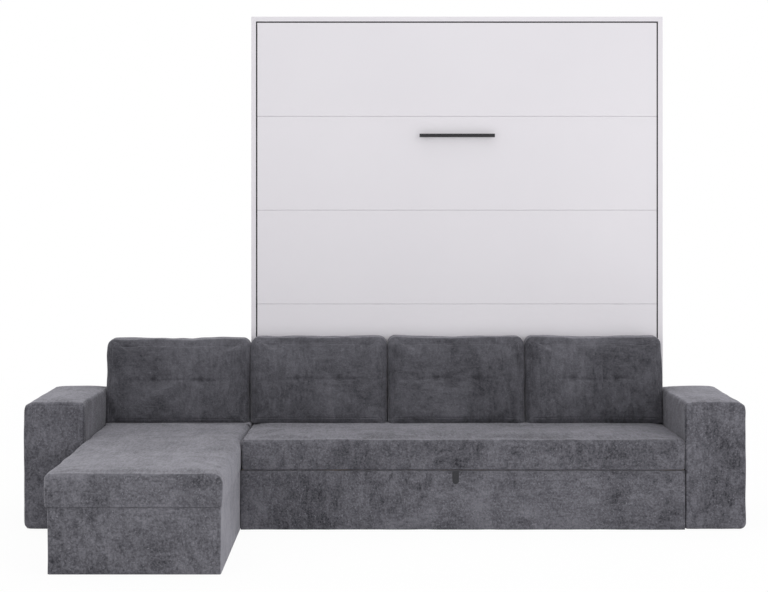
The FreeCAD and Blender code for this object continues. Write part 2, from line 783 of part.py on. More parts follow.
def build_arm(side):
    """Upholstered arm: a wooden box inside a padded cover, open underneath."""
    sign = SIDES[side]
    wall = size("arm_cover_wall")
    low = size("glide_height")
    inner = sign * size("arm_inner")
    outer = sign * size("arm_outer")
    near, far = min(inner, outer), max(inner, outer)
    top = size("arm_height") - size("arm_crown")
    foot = size("arm_round_inner")
    outer_round, inner_round = size("arm_round_outer"), size("arm_round_inner")
    radii = (foot, foot, outer_round, inner_round)
    if sign < 0:
        radii = (foot, foot, inner_round, outer_round)
    back_y = size("front_y") - size("soft_gap")
    form = slab((size("sofa_front_y"), back_y), size("arm_round_front"), (near, far),
                (low, top), radii, size("arm_crown"), along_y)
    hollow = Part.makeBox(far - near - 2 * wall, back_y - size("sofa_front_y") - 2 * wall,
                          top - wall - low,
                          FreeCAD.Vector(near + wall, size("sofa_front_y") + wall, low))
    publish(feature("ArmCover" + side, form.cut(hollow)), "arm_cover_" + side)
    board = "sofa_board"
    cover_low = "arm_inner + arm_cover_wall"
    width = "arm_width - 2 * arm_cover_wall"
    start = cover_low if sign > 0 else "-arm_outer + arm_cover_wall"
    depth = "sofa_depth - soft_gap - 2 * arm_cover_wall"
    height = "arm_height - arm_crown - arm_cover_wall - glide_height"
    shell = box("ArmShell" + side, (width, depth, height),
                (start, "sofa_front_y + arm_cover_wall", "glide_height"))
    room = box("ArmRoom" + side, (width + " - 2 * " + board, depth + " - 2 * " + board,
                                  height + " - " + board),
               (start + " + " + board, "sofa_front_y + arm_cover_wall + " + board, "glide_height"))
    publish(cut("ArmFrame" + side, shell, room), "arm_frame_" + side)


def build_seat():
    """Base boards, deck and the long seat cushion."""
    board_length = "front_y - drawer_back_y - edge_gap"
    board_height = "deck_bottom - glide_height"
    board_y = "drawer_back_y + edge_gap"
    left = box("BaseLeft", ("sofa_board", board_length, board_height),
               ("base_left", board_y, "glide_height"))
    right = box("BaseRight", ("sofa_board", board_length, board_height),
                ("arm_inner - sofa_board", board_y, "glide_height"))
    back = box("BaseBack", ("arm_inner - base_left - 2 * sofa_board", "sofa_board", board_height),
               ("base_left + sofa_board", "front_y - sofa_board", "glide_height"))
    publish(group("SeatBaseBoards", [left, right, back]), "seat_base_boards")
    deck = box("SeatDeck", ("arm_inner - base_left", board_length, "sofa_board"),
               ("base_left", board_y, "deck_bottom"))
    publish(deck, "seat_deck")
    rounding = size("seat_round")
    back_y = size("front_y") - size("soft_gap")
    ends = (size("seat_left"), size("arm_inner") - size("soft_gap"))
    form = slab(ends, rounding, (size("sofa_front_y"), back_y),
                (size("base_top"), size("seat_top")),
                (rounding * FOOT_ROUND_SHARE, rounding * FOOT_ROUND_SHARE, rounding, rounding),
                size("seat_crown"), along_x)
    publish(feature("SeatCushion", form), "seat_cushion")


def build_drawer():
    """Bedding drawer under the seat, on side runners, with a webbing pull."""
    board_low = "drawer_front_gap + drawer_cover_rim"
    front_top = "base_top - drawer_top_gap"
    cover_left = "seat_left + edge_gap"
    cover_width = "arm_inner - seat_left - 2 * edge_gap"
    board_extent = (cover_width + " - 2 * drawer_cover_rim", "sofa_board",
                    front_top + " - drawer_cover_rim - (%s)" % board_low)
    board_corner = (cover_left + " + drawer_cover_rim", "sofa_front_y + drawer_cover_depth",
                    board_low)
    publish(box("DrawerFrontBoard", board_extent, board_corner), "drawer_front_board")
    pad = Part.makeBox(size("arm_inner") - size("seat_left") - 2 * size("edge_gap"),
                       size("drawer_cover_depth") + size("drawer_cover_wrap"),
                       size("base_top") - size("drawer_top_gap") - size("drawer_front_gap"))
    front_edges = [edge for edge in pad.Edges if abs(edge.BoundBox.YMax) < size("soft_gap")]
    pad = pad.makeFillet(size("drawer_cover_round"), front_edges)
    padding = feature("DrawerPadding", pad)
    padding.Placement.Base = FreeCAD.Vector(size("seat_left") + size("edge_gap"),
                                            size("sofa_front_y"), size("drawer_front_gap"))
    pocket = box("DrawerPocket", board_extent, board_corner)
    publish(cut("DrawerFrontCover", padding, pocket), "drawer_front_cover")
    box_left = "drawer_outer_left"
    box_width = "drawer_outer_right - drawer_outer_left"
    left = box("DrawerLeft", ("drawer_board", "drawer_depth", "drawer_wall_height"),
               (box_left, "drawer_back_y", "drawer_wall_z"))
    right = box("DrawerRight", ("drawer_board", "drawer_depth", "drawer_wall_height"),
                ("drawer_outer_right - drawer_board", "drawer_back_y", "drawer_wall_z"))
    back = box("DrawerBack", (box_width + " - 2 * drawer_board", "drawer_board",
                              "drawer_wall_height"),
               (box_left + " + drawer_board", "drawer_back_y + drawer_depth - drawer_board",
                "drawer_wall_z"))
    publish(group("DrawerBox", [left, right, back]), "drawer_box_boards")
    publish(box("DrawerFloor", (box_width, "drawer_depth", "drawer_floor"),
                (box_left, "drawer_back_y", "drawer_floor_level")), "drawer_bottom")
    outer = []
    inner = []
    for side in SIDES:
        if side == "left":
            outer_x = "base_left + sofa_board"
            inner_x = "drawer_outer_left - runner_thickness"
        else:
            outer_x = "arm_inner - sofa_board - runner_thickness"
            inner_x = "drawer_outer_right"
        outer.append(box("RunnerOuter" + side, ("runner_thickness", "drawer_depth", "runner_height"),
                         (outer_x, "drawer_back_y + edge_gap", "runner_rise")))
        inner.append(box("RunnerInner" + side,
                         ("runner_thickness", "drawer_depth", "runner_tongue"),
                         (inner_x, "drawer_back_y",
                          "runner_rise + (runner_height - runner_tongue) / 2")))
    publish(group("RunnersOuter", outer), "drawer_runners_outer")
    publish(group("RunnersInner", inner), "drawer_runners_inner")
    build_pull()


def build_pull():
    """Webbing loop that hangs from the seam above the drawer front."""
    left = "cabinet_x - pull_offset - pull_width / 2"
    face = "sofa_front_y - soft_gap - pull_thickness"
    top = "base_top - drawer_top_gap + soft_gap"
    tail = box("PullTail", ("pull_width", "pull_thickness",
                            "pull_length - pull_width / 2 + pull_thickness"),
               (left, face, top + " - pull_length + pull_width / 2"))
    end = cylinder("PullEnd", "pull_width / 2", "pull_thickness",
                   (left + " + pull_width / 2", face, top + " - pull_length + pull_width / 2"), "Y")
    tab = box("PullTab", ("pull_width", "drawer_cover_depth", "pull_thickness"),
              (left, face, top))
    publish(fuse("PullStrap", [tail, end, tab]), "pull_strap")


def build_chaise():
    """Storage box, its fabric skin, the fixed rear cushion and the lid."""
    board = "sofa_board"
    left = "chaise_left + chaise_skin"
    right = "chaise_right - chaise_skin"
    length = "front_y - chaise_board_front_y"
    height = "base_height"
    low = "glide_height"
    inner_width = "(%s) - (%s) - 2 * %s" % (right, left, board)
    boards = [
        box("ChaiseLeft", (board, length, height), (left, "chaise_board_front_y", low)),
        box("ChaiseRight", (board, length, height),
            (right + " - " + board, "chaise_board_front_y", low)),
        box("ChaiseFront", (inner_width, board, height),
            (left + " + " + board, "chaise_board_front_y", low)),
        box("ChaiseBack", (inner_width, board, height),
            (left + " + " + board, "front_y - " + board, low)),
        box("ChaiseFloor", (inner_width, length + " - 2 * " + board, "chaise_floor"),
            (left + " + " + board, "chaise_board_front_y + " + board, low)),
        box("ChaiseRearDeck", (inner_width, "front_y - rear_cushion_y - " + board, board),
            (left + " + " + board, "rear_cushion_y", "base_top - " + board)),
        box("HingeBeam", ("lid_right - lid_left - 2 * hinge_margin", board,
                          "hinge_beam_top - base_top"),
            ("lid_left + hinge_margin", "rear_cushion_y", "base_top")),
    ]
    for share in SPACER_SHARES:
        boards.append(box("ArmSpacer%d" % len(boards),
                          ("chaise_left + arm_inner", "sofa_board * 3", "base_height / 2"),
                          ("-arm_inner", "sofa_front_y + sofa_depth * %g" % share,
                           "glide_height + base_height / 4")))
    publish(group("ChaiseCarcass", boards), "chaise_carcass")
    outer = box("SkinOuter", ("chaise_right - chaise_left", "front_y - chaise_skin_front_y",
                              "base_height"),
                ("chaise_left", "chaise_skin_front_y", "glide_height"))
    inner = box("SkinInner", ("chaise_right - chaise_left - 2 * chaise_skin",
                              "front_y - chaise_skin_front_y", "base_height + 2 * cut_overrun"),
                (left, "chaise_board_front_y", "glide_height - cut_overrun"))
    publish(cut("ChaiseSkin", outer, inner), "chaise_cover")
    build_chaise_rear()
    build_chaise_lid()
    build_lid_hinge()


def build_chaise_rear():
    """Fixed strip of seat cushion under the chaise's back cushion."""
    rounding = size("lid_round")
    low_y, high_y = size("rear_cushion_y"), size("front_y") - size("soft_gap")
    small = rounding * FOOT_ROUND_SHARE
    form = slab((size("lid_left"), size("lid_right")), rounding, (low_y, high_y),
                (size("base_top"), size("seat_top")),
                (small, small, rounding, rounding), 0, along_x)
    beam = Part.makeBox(size("lid_right") - size("lid_left") - 2 * size("hinge_margin"),
                        size("sofa_board"), size("hinge_beam_top") - size("base_top"),
                        FreeCAD.Vector(size("lid_left") + size("hinge_margin"), low_y,
                                       size("base_top")))
    publish(feature("ChaiseRearCushion", form.cut(beam)), "chaise_rear_cushion")


def build_chaise_lid():
    """Hinged lid: plywood with a batten at its rear edge, inside a thick cushion."""
    left = "lid_left + hinge_margin"
    width = "lid_right - lid_left - 2 * hinge_margin"
    front = "chaise_board_front_y"
    board = box("LidPanel", (width, "lid_back_y - chaise_board_front_y", "lid_board"),
                (left, front, "cushion_bottom"))
    batten_z = "cushion_bottom + lid_board"
    batten = box("LidBatten", (width, "sofa_board", "hinge_beam_top - (%s)" % batten_z),
                 (left, "lid_back_y - sofa_board", batten_z))
    lid = fuse("LidBoard", [board, batten])
    publish(lid, "chaise_lid_board")
    rounding = size("lid_round")
    small = rounding * FOOT_ROUND_SHARE
    ends = (size("chaise_front_y"), size("lid_back_y"))
    form = slab(ends, rounding, (size("lid_left"), size("lid_right")),
                (size("cushion_bottom"), size("seat_top")),
                (small, small, rounding, rounding), size("lid_crown"), along_y)
    doc.recompute()
    publish(feature("LidCushion", form.cut(lid.Shape)), "chaise_lid_cushion")


def build_lid_hinge():
    """Long butt hinge in the seam behind the lid: the outer knuckles and the pin stay."""
    length = "lid_right - lid_left - 2 * hinge_margin"
    left = "lid_left + hinge_margin"
    third = "(%s) / 3" % length
    leaf_z = "hinge_z - hinge_knuckle_radius - soft_gap - hinge_leaf_height"
    tongue_z = "hinge_z - hinge_knuckle_radius * 2"
    fixed = [box("FixedLeaf", (length, "hinge_leaf", "hinge_leaf_height"),
                 (left, "rear_cushion_y - hinge_leaf", leaf_z))]
    for index in (0, 2):
        start = left + " + %d * %s" % (index, third)
        fixed.append(box("FixedTongue%d" % index, (third, "hinge_leaf", "hinge_knuckle_radius * 2"),
                         (start, "rear_cushion_y - hinge_leaf", tongue_z)))
        fixed.append(cylinder("FixedKnuckle%d" % index, "hinge_knuckle_radius", third,
                              (start, "hinge_y", "hinge_z"), "X"))
    fixed.append(cylinder("HingePin", "hinge_pin_radius", length,
                          (left, "hinge_y", "hinge_z"), "X"))
    publish(fuse("HingeFixed", fixed), "lid_hinge_fixed")
    moving_left = left + " + %s + soft_gap" % third
    moving_length = third + " - 2 * soft_gap"
    leaf = box("MovingLeaf", (length, "hinge_leaf", "hinge_leaf_height"),
               (left, "lid_back_y", leaf_z))
    tongue = box("MovingTongue", (moving_length, "hinge_leaf", "hinge_knuckle_radius * 2"),
                 (moving_left, "lid_back_y", tongue_z))
    knuckle = cylinder("MovingKnuckle", "hinge_knuckle_radius", moving_length,
                       (moving_left, "hinge_y", "hinge_z"), "X")
    bore = cylinder("MovingBore", "hinge_pin_radius + running_gap", length,
                    (left, "hinge_y", "hinge_z"), "X")
    publish(cut("HingeMoving", fuse("HingeMovingSolid", [leaf, tongue, knuckle]), bore),
            "lid_hinge_moving")


def build_backrest():
    """Upholstered upright beside the cabinet that the chaise's back cushion leans on."""
    low = FreeCAD.Vector(-size("arm_inner"), size("front_y"), size("glide_height"))
    right = size("cabinet_x") - size("cabinet_width") / 2 - size("backrest_gap")
    core = Part.makeBox(right + size("arm_inner"), size("backrest_depth"),
                        size("backrest_height") - size("glide_height"))
    top = [edge for edge in core.Edges if edge.BoundBox.ZMin > core.BoundBox.ZMax / 2]
    rest = feature("Backrest", core.makeFillet(size("backrest_round"), top))
    rest.Placement.Base = low
    publish(rest, "chaise_backrest")


def back_cushion(width):
    """Back cushion at its own corner: foot on the seat, back flat, front and top crowned."""
    foot, head = size("back_cushion_foot"), size("back_cushion_head")
    height = size("back_cushion_height")
    rounding = size("back_cushion_round")
    crown = size("back_cushion_crown")
    wires = []
    for across, drawn in stations(0, width, rounding):
        full = drawn is None
        inset = 0 if full else drawn
        sag = crown if full else crown * (1 - CROWN_EDGE_SHARE * (1 + inset / rounding))
        lift = inset * FOOT_INSET_SHARE
        corners = [
            FreeCAD.Vector(across, -foot + inset * FRONT_INSET_SHARE, lift),
            FreeCAD.Vector(across, -inset * BACK_INSET_SHARE, lift),
            FreeCAD.Vector(across, -inset * BACK_INSET_SHARE, height - crown / 2 - inset),
            FreeCAD.Vector(across, -head + inset * FRONT_INSET_SHARE,
                           height - crown / 2 - inset),
        ]
        soft = rounding - inset * END_ROUND_SHARE
        radii = (soft * FRONT_INSET_SHARE, soft * FOOT_ROUND_SHARE, soft * FRONT_INSET_SHARE, soft)
        wires.append(outline(corners, radii, (0, 0, sag * HEAD_SAG_SHARE, sag)))
    form = Part.makeLoft(wires, True, True)
    level = height - size("tuft_drop")
    slope = (foot - head) / height
    face = -foot + slope * level - crown * TUFT_FACE_SHARE
    radius, depth = size("tuft_radius"), size("tuft_depth")
    for share in TUFT_WIDTH_SHARES:
        centre = FreeCAD.Vector(width * share, face - radius + depth, level)
        form = form.cut(Part.makeSphere(radius, centre))
    return form


def build_back_cushions():
    """One cushion on the chaise and three along the seat, all loose."""
    gap = size("back_cushion_gap")
    span_left = size("seat_left") - size("back_cushion_overhang")
    chaise_left = size("lid_left")
    chaise = feature("BackCushionChaise", back_cushion(span_left - gap / 2 - chaise_left))
    chaise.Placement.Base = FreeCAD.Vector(chaise_left, size("front_y") - size("soft_gap"),
                                           size("seat_top") + size("soft_gap"))
    publish(chaise, "back_cushion_chaise")
    step = size("back_cushion_span") / CUSHION_COUNT
    for index, name in enumerate(("left", "middle", "right")):
        cushion = feature("BackCushion" + name, back_cushion(step - gap))
        cushion.Placement.Base = FreeCAD.Vector(span_left + step * index + gap / 2,
                                                size("front_y") - size("soft_gap"),
                                                size("back_cushion_bottom"))
        publish(cushion, "back_cushion_" + name)


def build_glides():
    """Plastic discs under the arms, the seat base, the chaise and the backrest."""
    inset = "glide_inset"
    spots = []
    for sign in SIDES.values():
        for x in ("arm_inner + arm_cover_wall + sofa_board / 2",
                  "arm_outer - arm_cover_wall - sofa_board / 2"):
            for y in ("sofa_front_y + " + inset, "front_y - " + inset):
                spots.append(("(%d) * (%s)" % (sign, x), y))
    for x in ("base_left + glide_radius", "arm_inner - glide_radius"):
        for y in ("drawer_back_y + " + inset, "front_y - " + inset):
            spots.append((x, y))
    for x in ("chaise_left + chaise_skin + glide_radius", "chaise_right - chaise_skin - glide_radius"):
        for y in ("chaise_board_front_y + " + inset, "front_y - " + inset):
            spots.append((x, y))
    for x in ("-arm_inner + " + inset, "seat_left - " + inset):
        spots.append((x, "front_y + backrest_depth / 2"))
    discs = []
    for index, (x, y) in enumerate(spots):
        discs.append(cylinder("Glide%d" % index, "glide_radius", "glide_height", (x, y, "0")))
    publish(group("SofaGlides", discs), "sofa_glides")


def check_and_write():
    """Stop on any failed object or shape, then write one file for each node."""
    doc.recompute()
    for thing in doc.Objects:
        if "Invalid" in thing.State or "Error" in thing.State:
            raise RuntimeError("%s failed: %s" % (thing.Name, thing.State))
    for piece in published:
        if piece.Shape.isNull() or not piece.Shape.isValid() or not piece.Shape.Solids:
            raise RuntimeError("%s has no valid solid" % piece.Label)
    os.makedirs("parts", exist_ok=True)
    for piece in published:
        piece.Shape.exportStep("parts/%s.step" % piece.Label)
    print("%d nodes" % len(published))
    print("leg turn %.4f degrees" % -leg_turn())
    print("spring length %.3f mm" % spring_turn()[0])


build_cabinet()
build_mechanism()
build_front()
build_bed_frame()
build_handle()
build_mattress()
build_gas_springs()
build_leg()
for arm_side in SIDES:
    build_arm(arm_side)
build_seat()
build_drawer()
build_chaise()
build_backrest()
build_back_cushions()
build_glides()
check_and_write()
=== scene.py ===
import json
import logging
import math
from dataclasses import dataclass, field
from enum import Enum
from functools import cache
from typing import Callable, Iterable, Sequence

import bmesh
import bpy
import numpy as np
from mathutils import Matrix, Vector

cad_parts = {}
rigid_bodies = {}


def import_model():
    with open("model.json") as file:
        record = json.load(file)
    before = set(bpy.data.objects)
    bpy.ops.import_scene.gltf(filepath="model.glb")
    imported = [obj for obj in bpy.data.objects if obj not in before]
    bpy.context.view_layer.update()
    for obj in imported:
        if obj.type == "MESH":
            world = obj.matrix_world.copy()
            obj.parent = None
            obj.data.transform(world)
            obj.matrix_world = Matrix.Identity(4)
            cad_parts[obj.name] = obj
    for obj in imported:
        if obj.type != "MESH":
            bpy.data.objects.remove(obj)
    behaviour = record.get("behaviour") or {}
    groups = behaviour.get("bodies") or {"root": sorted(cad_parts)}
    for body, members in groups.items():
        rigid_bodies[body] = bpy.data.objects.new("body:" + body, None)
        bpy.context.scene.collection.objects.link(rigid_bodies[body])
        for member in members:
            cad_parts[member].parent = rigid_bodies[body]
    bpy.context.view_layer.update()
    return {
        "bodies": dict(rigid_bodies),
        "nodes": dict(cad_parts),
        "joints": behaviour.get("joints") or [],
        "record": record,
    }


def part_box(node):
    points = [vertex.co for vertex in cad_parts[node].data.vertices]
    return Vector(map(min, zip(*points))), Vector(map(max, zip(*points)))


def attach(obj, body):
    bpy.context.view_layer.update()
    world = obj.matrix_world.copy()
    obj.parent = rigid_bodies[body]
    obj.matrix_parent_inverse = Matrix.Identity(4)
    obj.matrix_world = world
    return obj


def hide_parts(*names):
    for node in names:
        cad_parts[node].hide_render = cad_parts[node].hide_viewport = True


# Looks of a wall bed with a corner sofa in front of it.
# Metres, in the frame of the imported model: X right, Y towards the wall, Z up.

log = logging.getLogger("wall_bed")

Face = tuple[int, ...]
Pair = tuple[float, float]
Triple = tuple[float, float, float]
Four = tuple[float, float, float, float]
Array = np.ndarray
Object = bpy.types.Object
NodeTree = bpy.types.NodeTree
Socket = bpy.types.NodeSocket
Pattern = tuple[Socket, Socket, Socket]
Shaper = Callable[[Array], Array]
Sewer = Callable[[Array, Array], Array]
Colour = Triple


class Slot(Enum):
    """Material slots of the record."""

    WHITE_BOARD = "white_board"
    INNER_BOARD = "inner_board"
    STEEL = "steel"
    BLACK_METAL = "black_metal"
    GREY_METAL = "grey_metal"
    PLASTIC = "plastic"
    WOOD = "wood"
    UPHOLSTERY = "upholstery"
    MATTRESS = "mattress_fabric"
    WEBBING = "webbing"


class Cloth(Enum):
    """Cloths that look different from their material slot's own, through painted light and shade."""

    STRETCHED = "crushed_plush"
    CUSHION = "cushion_plush"
    ARM = "arm_plush"
    CHAISE = "chaise_plush"
    SEAL = "seal_pile"


class Axis(Enum):
    """Direction along which an outline is drawn out into a block."""

    X = 0
    Y = 1
    Z = 2


# Node trees


@dataclass
class NodeSketch:
    """Short calls that fill one node tree.

    Args:
        tree: The node tree to fill.
    """

    tree: NodeTree

    def feed(self, node: bpy.types.Node, inputs: dict) -> None:
        """Set inputs of a node.

        Args:
            node: The node.
            inputs: Values or sockets for its inputs, by name or number.
        """
        for key, value in inputs.items():
            if isinstance(value, Socket):
                self.tree.links.new(value, node.inputs[key])
            else:
                node.inputs[key].default_value = value

    def add(self, kind: str, inputs: dict | None = None, **settings) -> bpy.types.Node:
        """Add a node.

        Args:
            kind: Blender's name of the node type.
            inputs: Values or sockets for the node's inputs, by name or number.
            **settings: Attributes of the node itself.

        Returns:
            The new node.
        """
        node = self.tree.nodes.new(kind)
        for name, value in settings.items():
            setattr(node, name, value)
        self.feed(node, inputs or {})
        return node

    def math(self, operation: str, *values: Socket | float) -> Socket:
        """Add a math node with its operands and return its result."""
        return self.add("ShaderNodeMath", dict(enumerate(values)), operation=operation).outputs[0]

    def plus(self, base: Socket | float, value: Socket, weight: Socket | float) -> Socket:
        """Add a value times its weight to a base."""
        return self.math("ADD", self.math("MULTIPLY", value, weight), base)

    def between(self, first: Socket, second: Socket, share: Socket) -> Socket:
        """Go from the first value, at a share of 0, to the second, at 1."""
        return self.plus(first, self.math("SUBTRACT", second, first), share)

    def spread(self, value: Socket, low: float, high: float) -> Socket:
        """Stretch the span from low to high over 0 to 1, clamped."""
        inputs = {"Value": value, "From Min": low, "From Max": high}
        return self.add("ShaderNodeMapRange", inputs).outputs["Result"]

    def noise(self, place: Socket, scale: Socket | float, detail: float = 2.0,
              roughness: float = 0.5, warp: Socket | float = 0.0) -> Socket:
        """Add a noise texture.

        Args:
            place: Socket with the place.
            scale: Cells per metre.
            detail: Octaves.
            roughness: Weight of the finer octaves.
            warp: How far the place is warped.

        Returns:
            The noise value.
        """
        inputs = {"Vector": place, "Scale": scale, "Detail": detail, "Roughness": roughness,
                  "Distortion": warp}
        return self.add("ShaderNodeTexNoise", inputs).outputs[0]

    def mix(self, factor: Socket, first: Colour, second: Colour) -> Socket:
        """Mix two linear colours: the first where the factor is 0, the second where it is 1."""
        inputs = {"Factor": factor, 6: (*first, 1), 7: (*second, 1)}
        return self.add("ShaderNodeMix", inputs, data_type="RGBA").outputs[2]

    def stretched(self, place: Socket, factors: Sequence[float]) -> Socket:
        """Scale a place by a factor along each axis."""
        inputs = {0: place, 1: tuple(factors)}
        return self.add("ShaderNodeVectorMath", inputs, operation="MULTIPLY").outputs[0]

    def group(self, tree: NodeTree, place: Socket, **values: float) -> Sequence[Socket]:
        """Place a shared group with a finish's own values.

        Args:
            tree: The shared group.
            place: Socket with the place.
            **values: Values of the group's inputs, with _ for a blank.

        Returns:
            The group's outputs.
        """
        inputs = {name.replace("_", " "): value for name, value in values.items()}
        return self.add("ShaderNodeGroup", {"Vector": place} | inputs, node_tree=tree).outputs


class SharedGroups:
    """Shader node groups that several finishes place with their own values, each made once."""

    @staticmethod
    def start(name: str, inputs: dict[str, float],
              outputs: Sequence[str]) -> tuple[NodeSketch, Sequence[Socket], bpy.types.Node]:
        """Make an empty group with its sockets.

        Args:
            name: The group's name.
            inputs: Value inputs with their defaults; the place comes first, as Vector.
            outputs: Names of the value outputs.

        Returns:
            A sketch of the group, the sockets that it is given, and its output node.
        """
        tree = bpy.data.node_groups.new(name, "ShaderNodeTree")
        tree.interface.new_socket("Vector", in_out="INPUT", socket_type="NodeSocketVector")
        for label, default in inputs.items():
            socket = tree.interface.new_socket(label, in_out="INPUT", socket_type="NodeSocketFloat")
            socket.default_value = default
        for label in outputs:
            tree.interface.new_socket(label, in_out="OUTPUT", socket_type="NodeSocketFloat")
        sketch = NodeSketch(tree)
        return sketch, sketch.add("NodeGroupInput").outputs, sketch.add("NodeGroupOutput")

    @staticmethod
    @cache
    def crushed_nap() -> NodeTree:
        """Crushed pile that lies in patches and strokes, with specks of single tufts, and with
        painted light and shade on faces that turn sideways or up.

        Returns:
            The group.
        """
        weights = {"Cloud": 0.2, "Patch": 0.3, "Stroke": 0.3, "Tuft": 0.3, "Speck": 0.4,
                   "Side": 0.0, "Top": 0.0}
        sketch, given, out = SharedGroups.start("crushed_nap", weights, ("Shade", "Pile"))
        place = given["Vector"]
        drawn = sketch.stretched(place, (1.0, 0.2, 1.0))
        # Which way the face turns, for the painted light and shade.
        normal = sketch.add("ShaderNodeTexCoord").outputs["Normal"]
        facing = sketch.add("ShaderNodeSeparateXYZ", {0: normal}).outputs
        level = sketch.spread(sketch.math("ABSOLUTE", facing[2]), 0.5, 0.85)

        def either(scale: float, low: float, high: float, **settings: float) -> Socket:
            """Noise that is drawn out along Y where the face is level, spread from low to high."""
            plain, along = (sketch.noise(at, scale, **settings) for at in (place, drawn))
            return sketch.spread(sketch.between(plain, along, level), low, high)

        ways = []
        for factors in ((1.0, 0.5, 0.26), (0.26, 0.5, 1.0)):
            brushed = sketch.stretched(place, factors)
            stroke = sketch.noise(brushed, 50.0, detail=3.0, roughness=0.62, warp=0.8)
            ways.append(sketch.spread(stroke, 0.36, 0.64))
        turn = sketch.spread(sketch.noise(place, 3.1, detail=1.0, warp=0.5), 0.5, 0.56)
        strokes = sketch.between(*ways, turn)
        clouds = sketch.spread(sketch.noise(place, 4.2, warp=0.6), 0.34, 0.66)
        patches = either(19.0, 0.37, 0.63, detail=3.0, roughness=0.66, warp=1.0)
        tufts = either(118.0, 0.33, 0.67, roughness=0.75, warp=0.3)
        specks = either(170.0, 0.64, 0.76, detail=1.0, roughness=0.6)
        shade: Socket | float = 0.5
        for value, weight in ((clouds, "Cloud"), (patches, "Patch"), (strokes, "Stroke"),
                              (tufts, "Tuft")):
            shade = sketch.plus(shade, sketch.math("SUBTRACT", value, 0.5), given[weight])
        shade = sketch.plus(shade, specks, given["Speck"])
        # Painted light and shade: faces turned sideways or up get lighter or darker by these weights.
        for share, painted_shading in ((sketch.math("ABSOLUTE", facing[0]), "Side"), (facing[2], "Top")):
            shade = sketch.plus(shade, sketch.spread(share, 0.4, 0.9), given[painted_shading])
        pile = sketch.plus(sketch.math("MULTIPLY", strokes, 0.45), tufts, 0.55)
        sketch.feed(out, {"Shade": shade, "Pile": pile})
        return sketch.tree

    @staticmethod
    @cache
    def fine_grain() -> NodeTree:
        """Even fine grain of a coated, moulded or laminated face.

        Returns:
            The group.
        """
        scales = {"Scale": 900.0, "Cloud Scale": 3.0}
        sketch, given, out = SharedGroups.start("fine_grain", scales, ("Grain", "Cloud"))
        grain = sketch.noise(given["Vector"], given["Scale"], roughness=0.6)
        cloud = sketch.noise(given["Vector"], given["Cloud Scale"], detail=3.0)
        sketch.feed(out, {"Grain": sketch.spread(grain, 0.3, 0.7),
                          "Cloud": sketch.spread(cloud, 0.3, 0.7)})
        return sketch.tree

    @staticmethod
    @cache
    def streaks() -> NodeTree:
        """Long streaks, for wood grain and brushed metal; the place comes already stretched.

        Returns:
            The group.
        """
        sketch, given, out = SharedGroups.start("streaks", {"Scale": 40.0, "Warp": 0.4},
                                                ("Line", "Pore"))
        place, scale = given["Vector"], given["Scale"]
        broad = sketch.noise(place, scale, detail=4.0, roughness=0.6, warp=given["Warp"])
        fine = sketch.noise(place, sketch.math("MULTIPLY", scale, 7.0), detail=3.0, roughness=0.7)
        sketch.feed(out, {"Line": sketch.spread(broad, 0.3, 0.7),
                          "Pore": sketch.spread(fine, 0.35, 0.7)})
        return sketch.tree

    @staticmethod
    @cache
    def weave() -> NodeTree:
        """Plain weave: threads over and under each other in the object's own planes.

        Returns:
            The group.
        """
        sketch, given, out = SharedGroups.start("weave", {"Threads": 700.0}, ("Thread", "Slub"))
        waves = []
        for axis in sketch.add("ShaderNodeSeparateXYZ", {0: given["Vector"]}).outputs:
            turned = sketch.math("MULTIPLY", axis, given["Threads"])
            waves.append(sketch.math("ABSOLUTE", sketch.math("SINE", turned)))
        planes = [sketch.math("MULTIPLY", waves[a], waves[b]) for a, b in ((0, 1), (1, 2), (0, 2))]
        thread = sketch.math("MAXIMUM", sketch.math("MAXIMUM", *planes[:2]), planes[2])
        slub = sketch.noise(given["Vector"], 220.0, detail=3.0, roughness=0.6)
        sketch.feed(out, {"Thread": thread, "Slub": sketch.spread(slub, 0.35, 0.65)})
        return sketch.tree


# Finishes


@dataclass(frozen=True)
class Finish:
    """What all finishes share: the way in which a pattern becomes a material.

    Args:
        name: Name of the material.
        roughness: Roughness where the pattern is 0.
        rough_step: How much rougher it is where the pattern is 1.
        specular: Strength of the gloss.
        metallic: Metallic share.
        relief: Share of the pattern's relief that shows.
        height: Height of that relief in metres.
    """

    name: str
    roughness: float = 0.5
    rough_step: float = 0.0
    specular: float = 0.5
    metallic: float = 0.0
    relief: float = 0.25
    height: float = 0.0003

    def pattern(self, sketch: NodeSketch, place: Socket) -> Pattern:
        """Add the nodes of the finish's own pattern.

        Args:
            sketch: Sketch of the material's tree.
            place: Socket with the object's own place.

        Returns:
            Its colour, what its roughness follows, and its height.
        """
        raise NotImplementedError

    def extras(self) -> dict:
        """Further inputs of the shader."""
        return {}

    def build(self) -> bpy.types.Material:
        """Make the material.

        Returns:
            The material.
        """
        material = bpy.data.materials.new(self.name)
        material.use_nodes = True
        sketch = NodeSketch(material.node_tree)
        place = sketch.add("ShaderNodeTexCoord").outputs["Object"]
        colour, uneven, height = self.pattern(sketch, place)
        relief = {"Height": height, "Strength": self.relief, "Distance": self.height}
        inputs = {"Base Color": colour, "Specular IOR Level": self.specular,
                  "Metallic": self.metallic,
                  "Roughness": sketch.plus(self.roughness, uneven, self.rough_step),
                  "Normal": sketch.add("ShaderNodeBump", relief).outputs[0]}
        sketch.feed(material.node_tree.nodes["Principled BSDF"], inputs | self.extras())
        return material


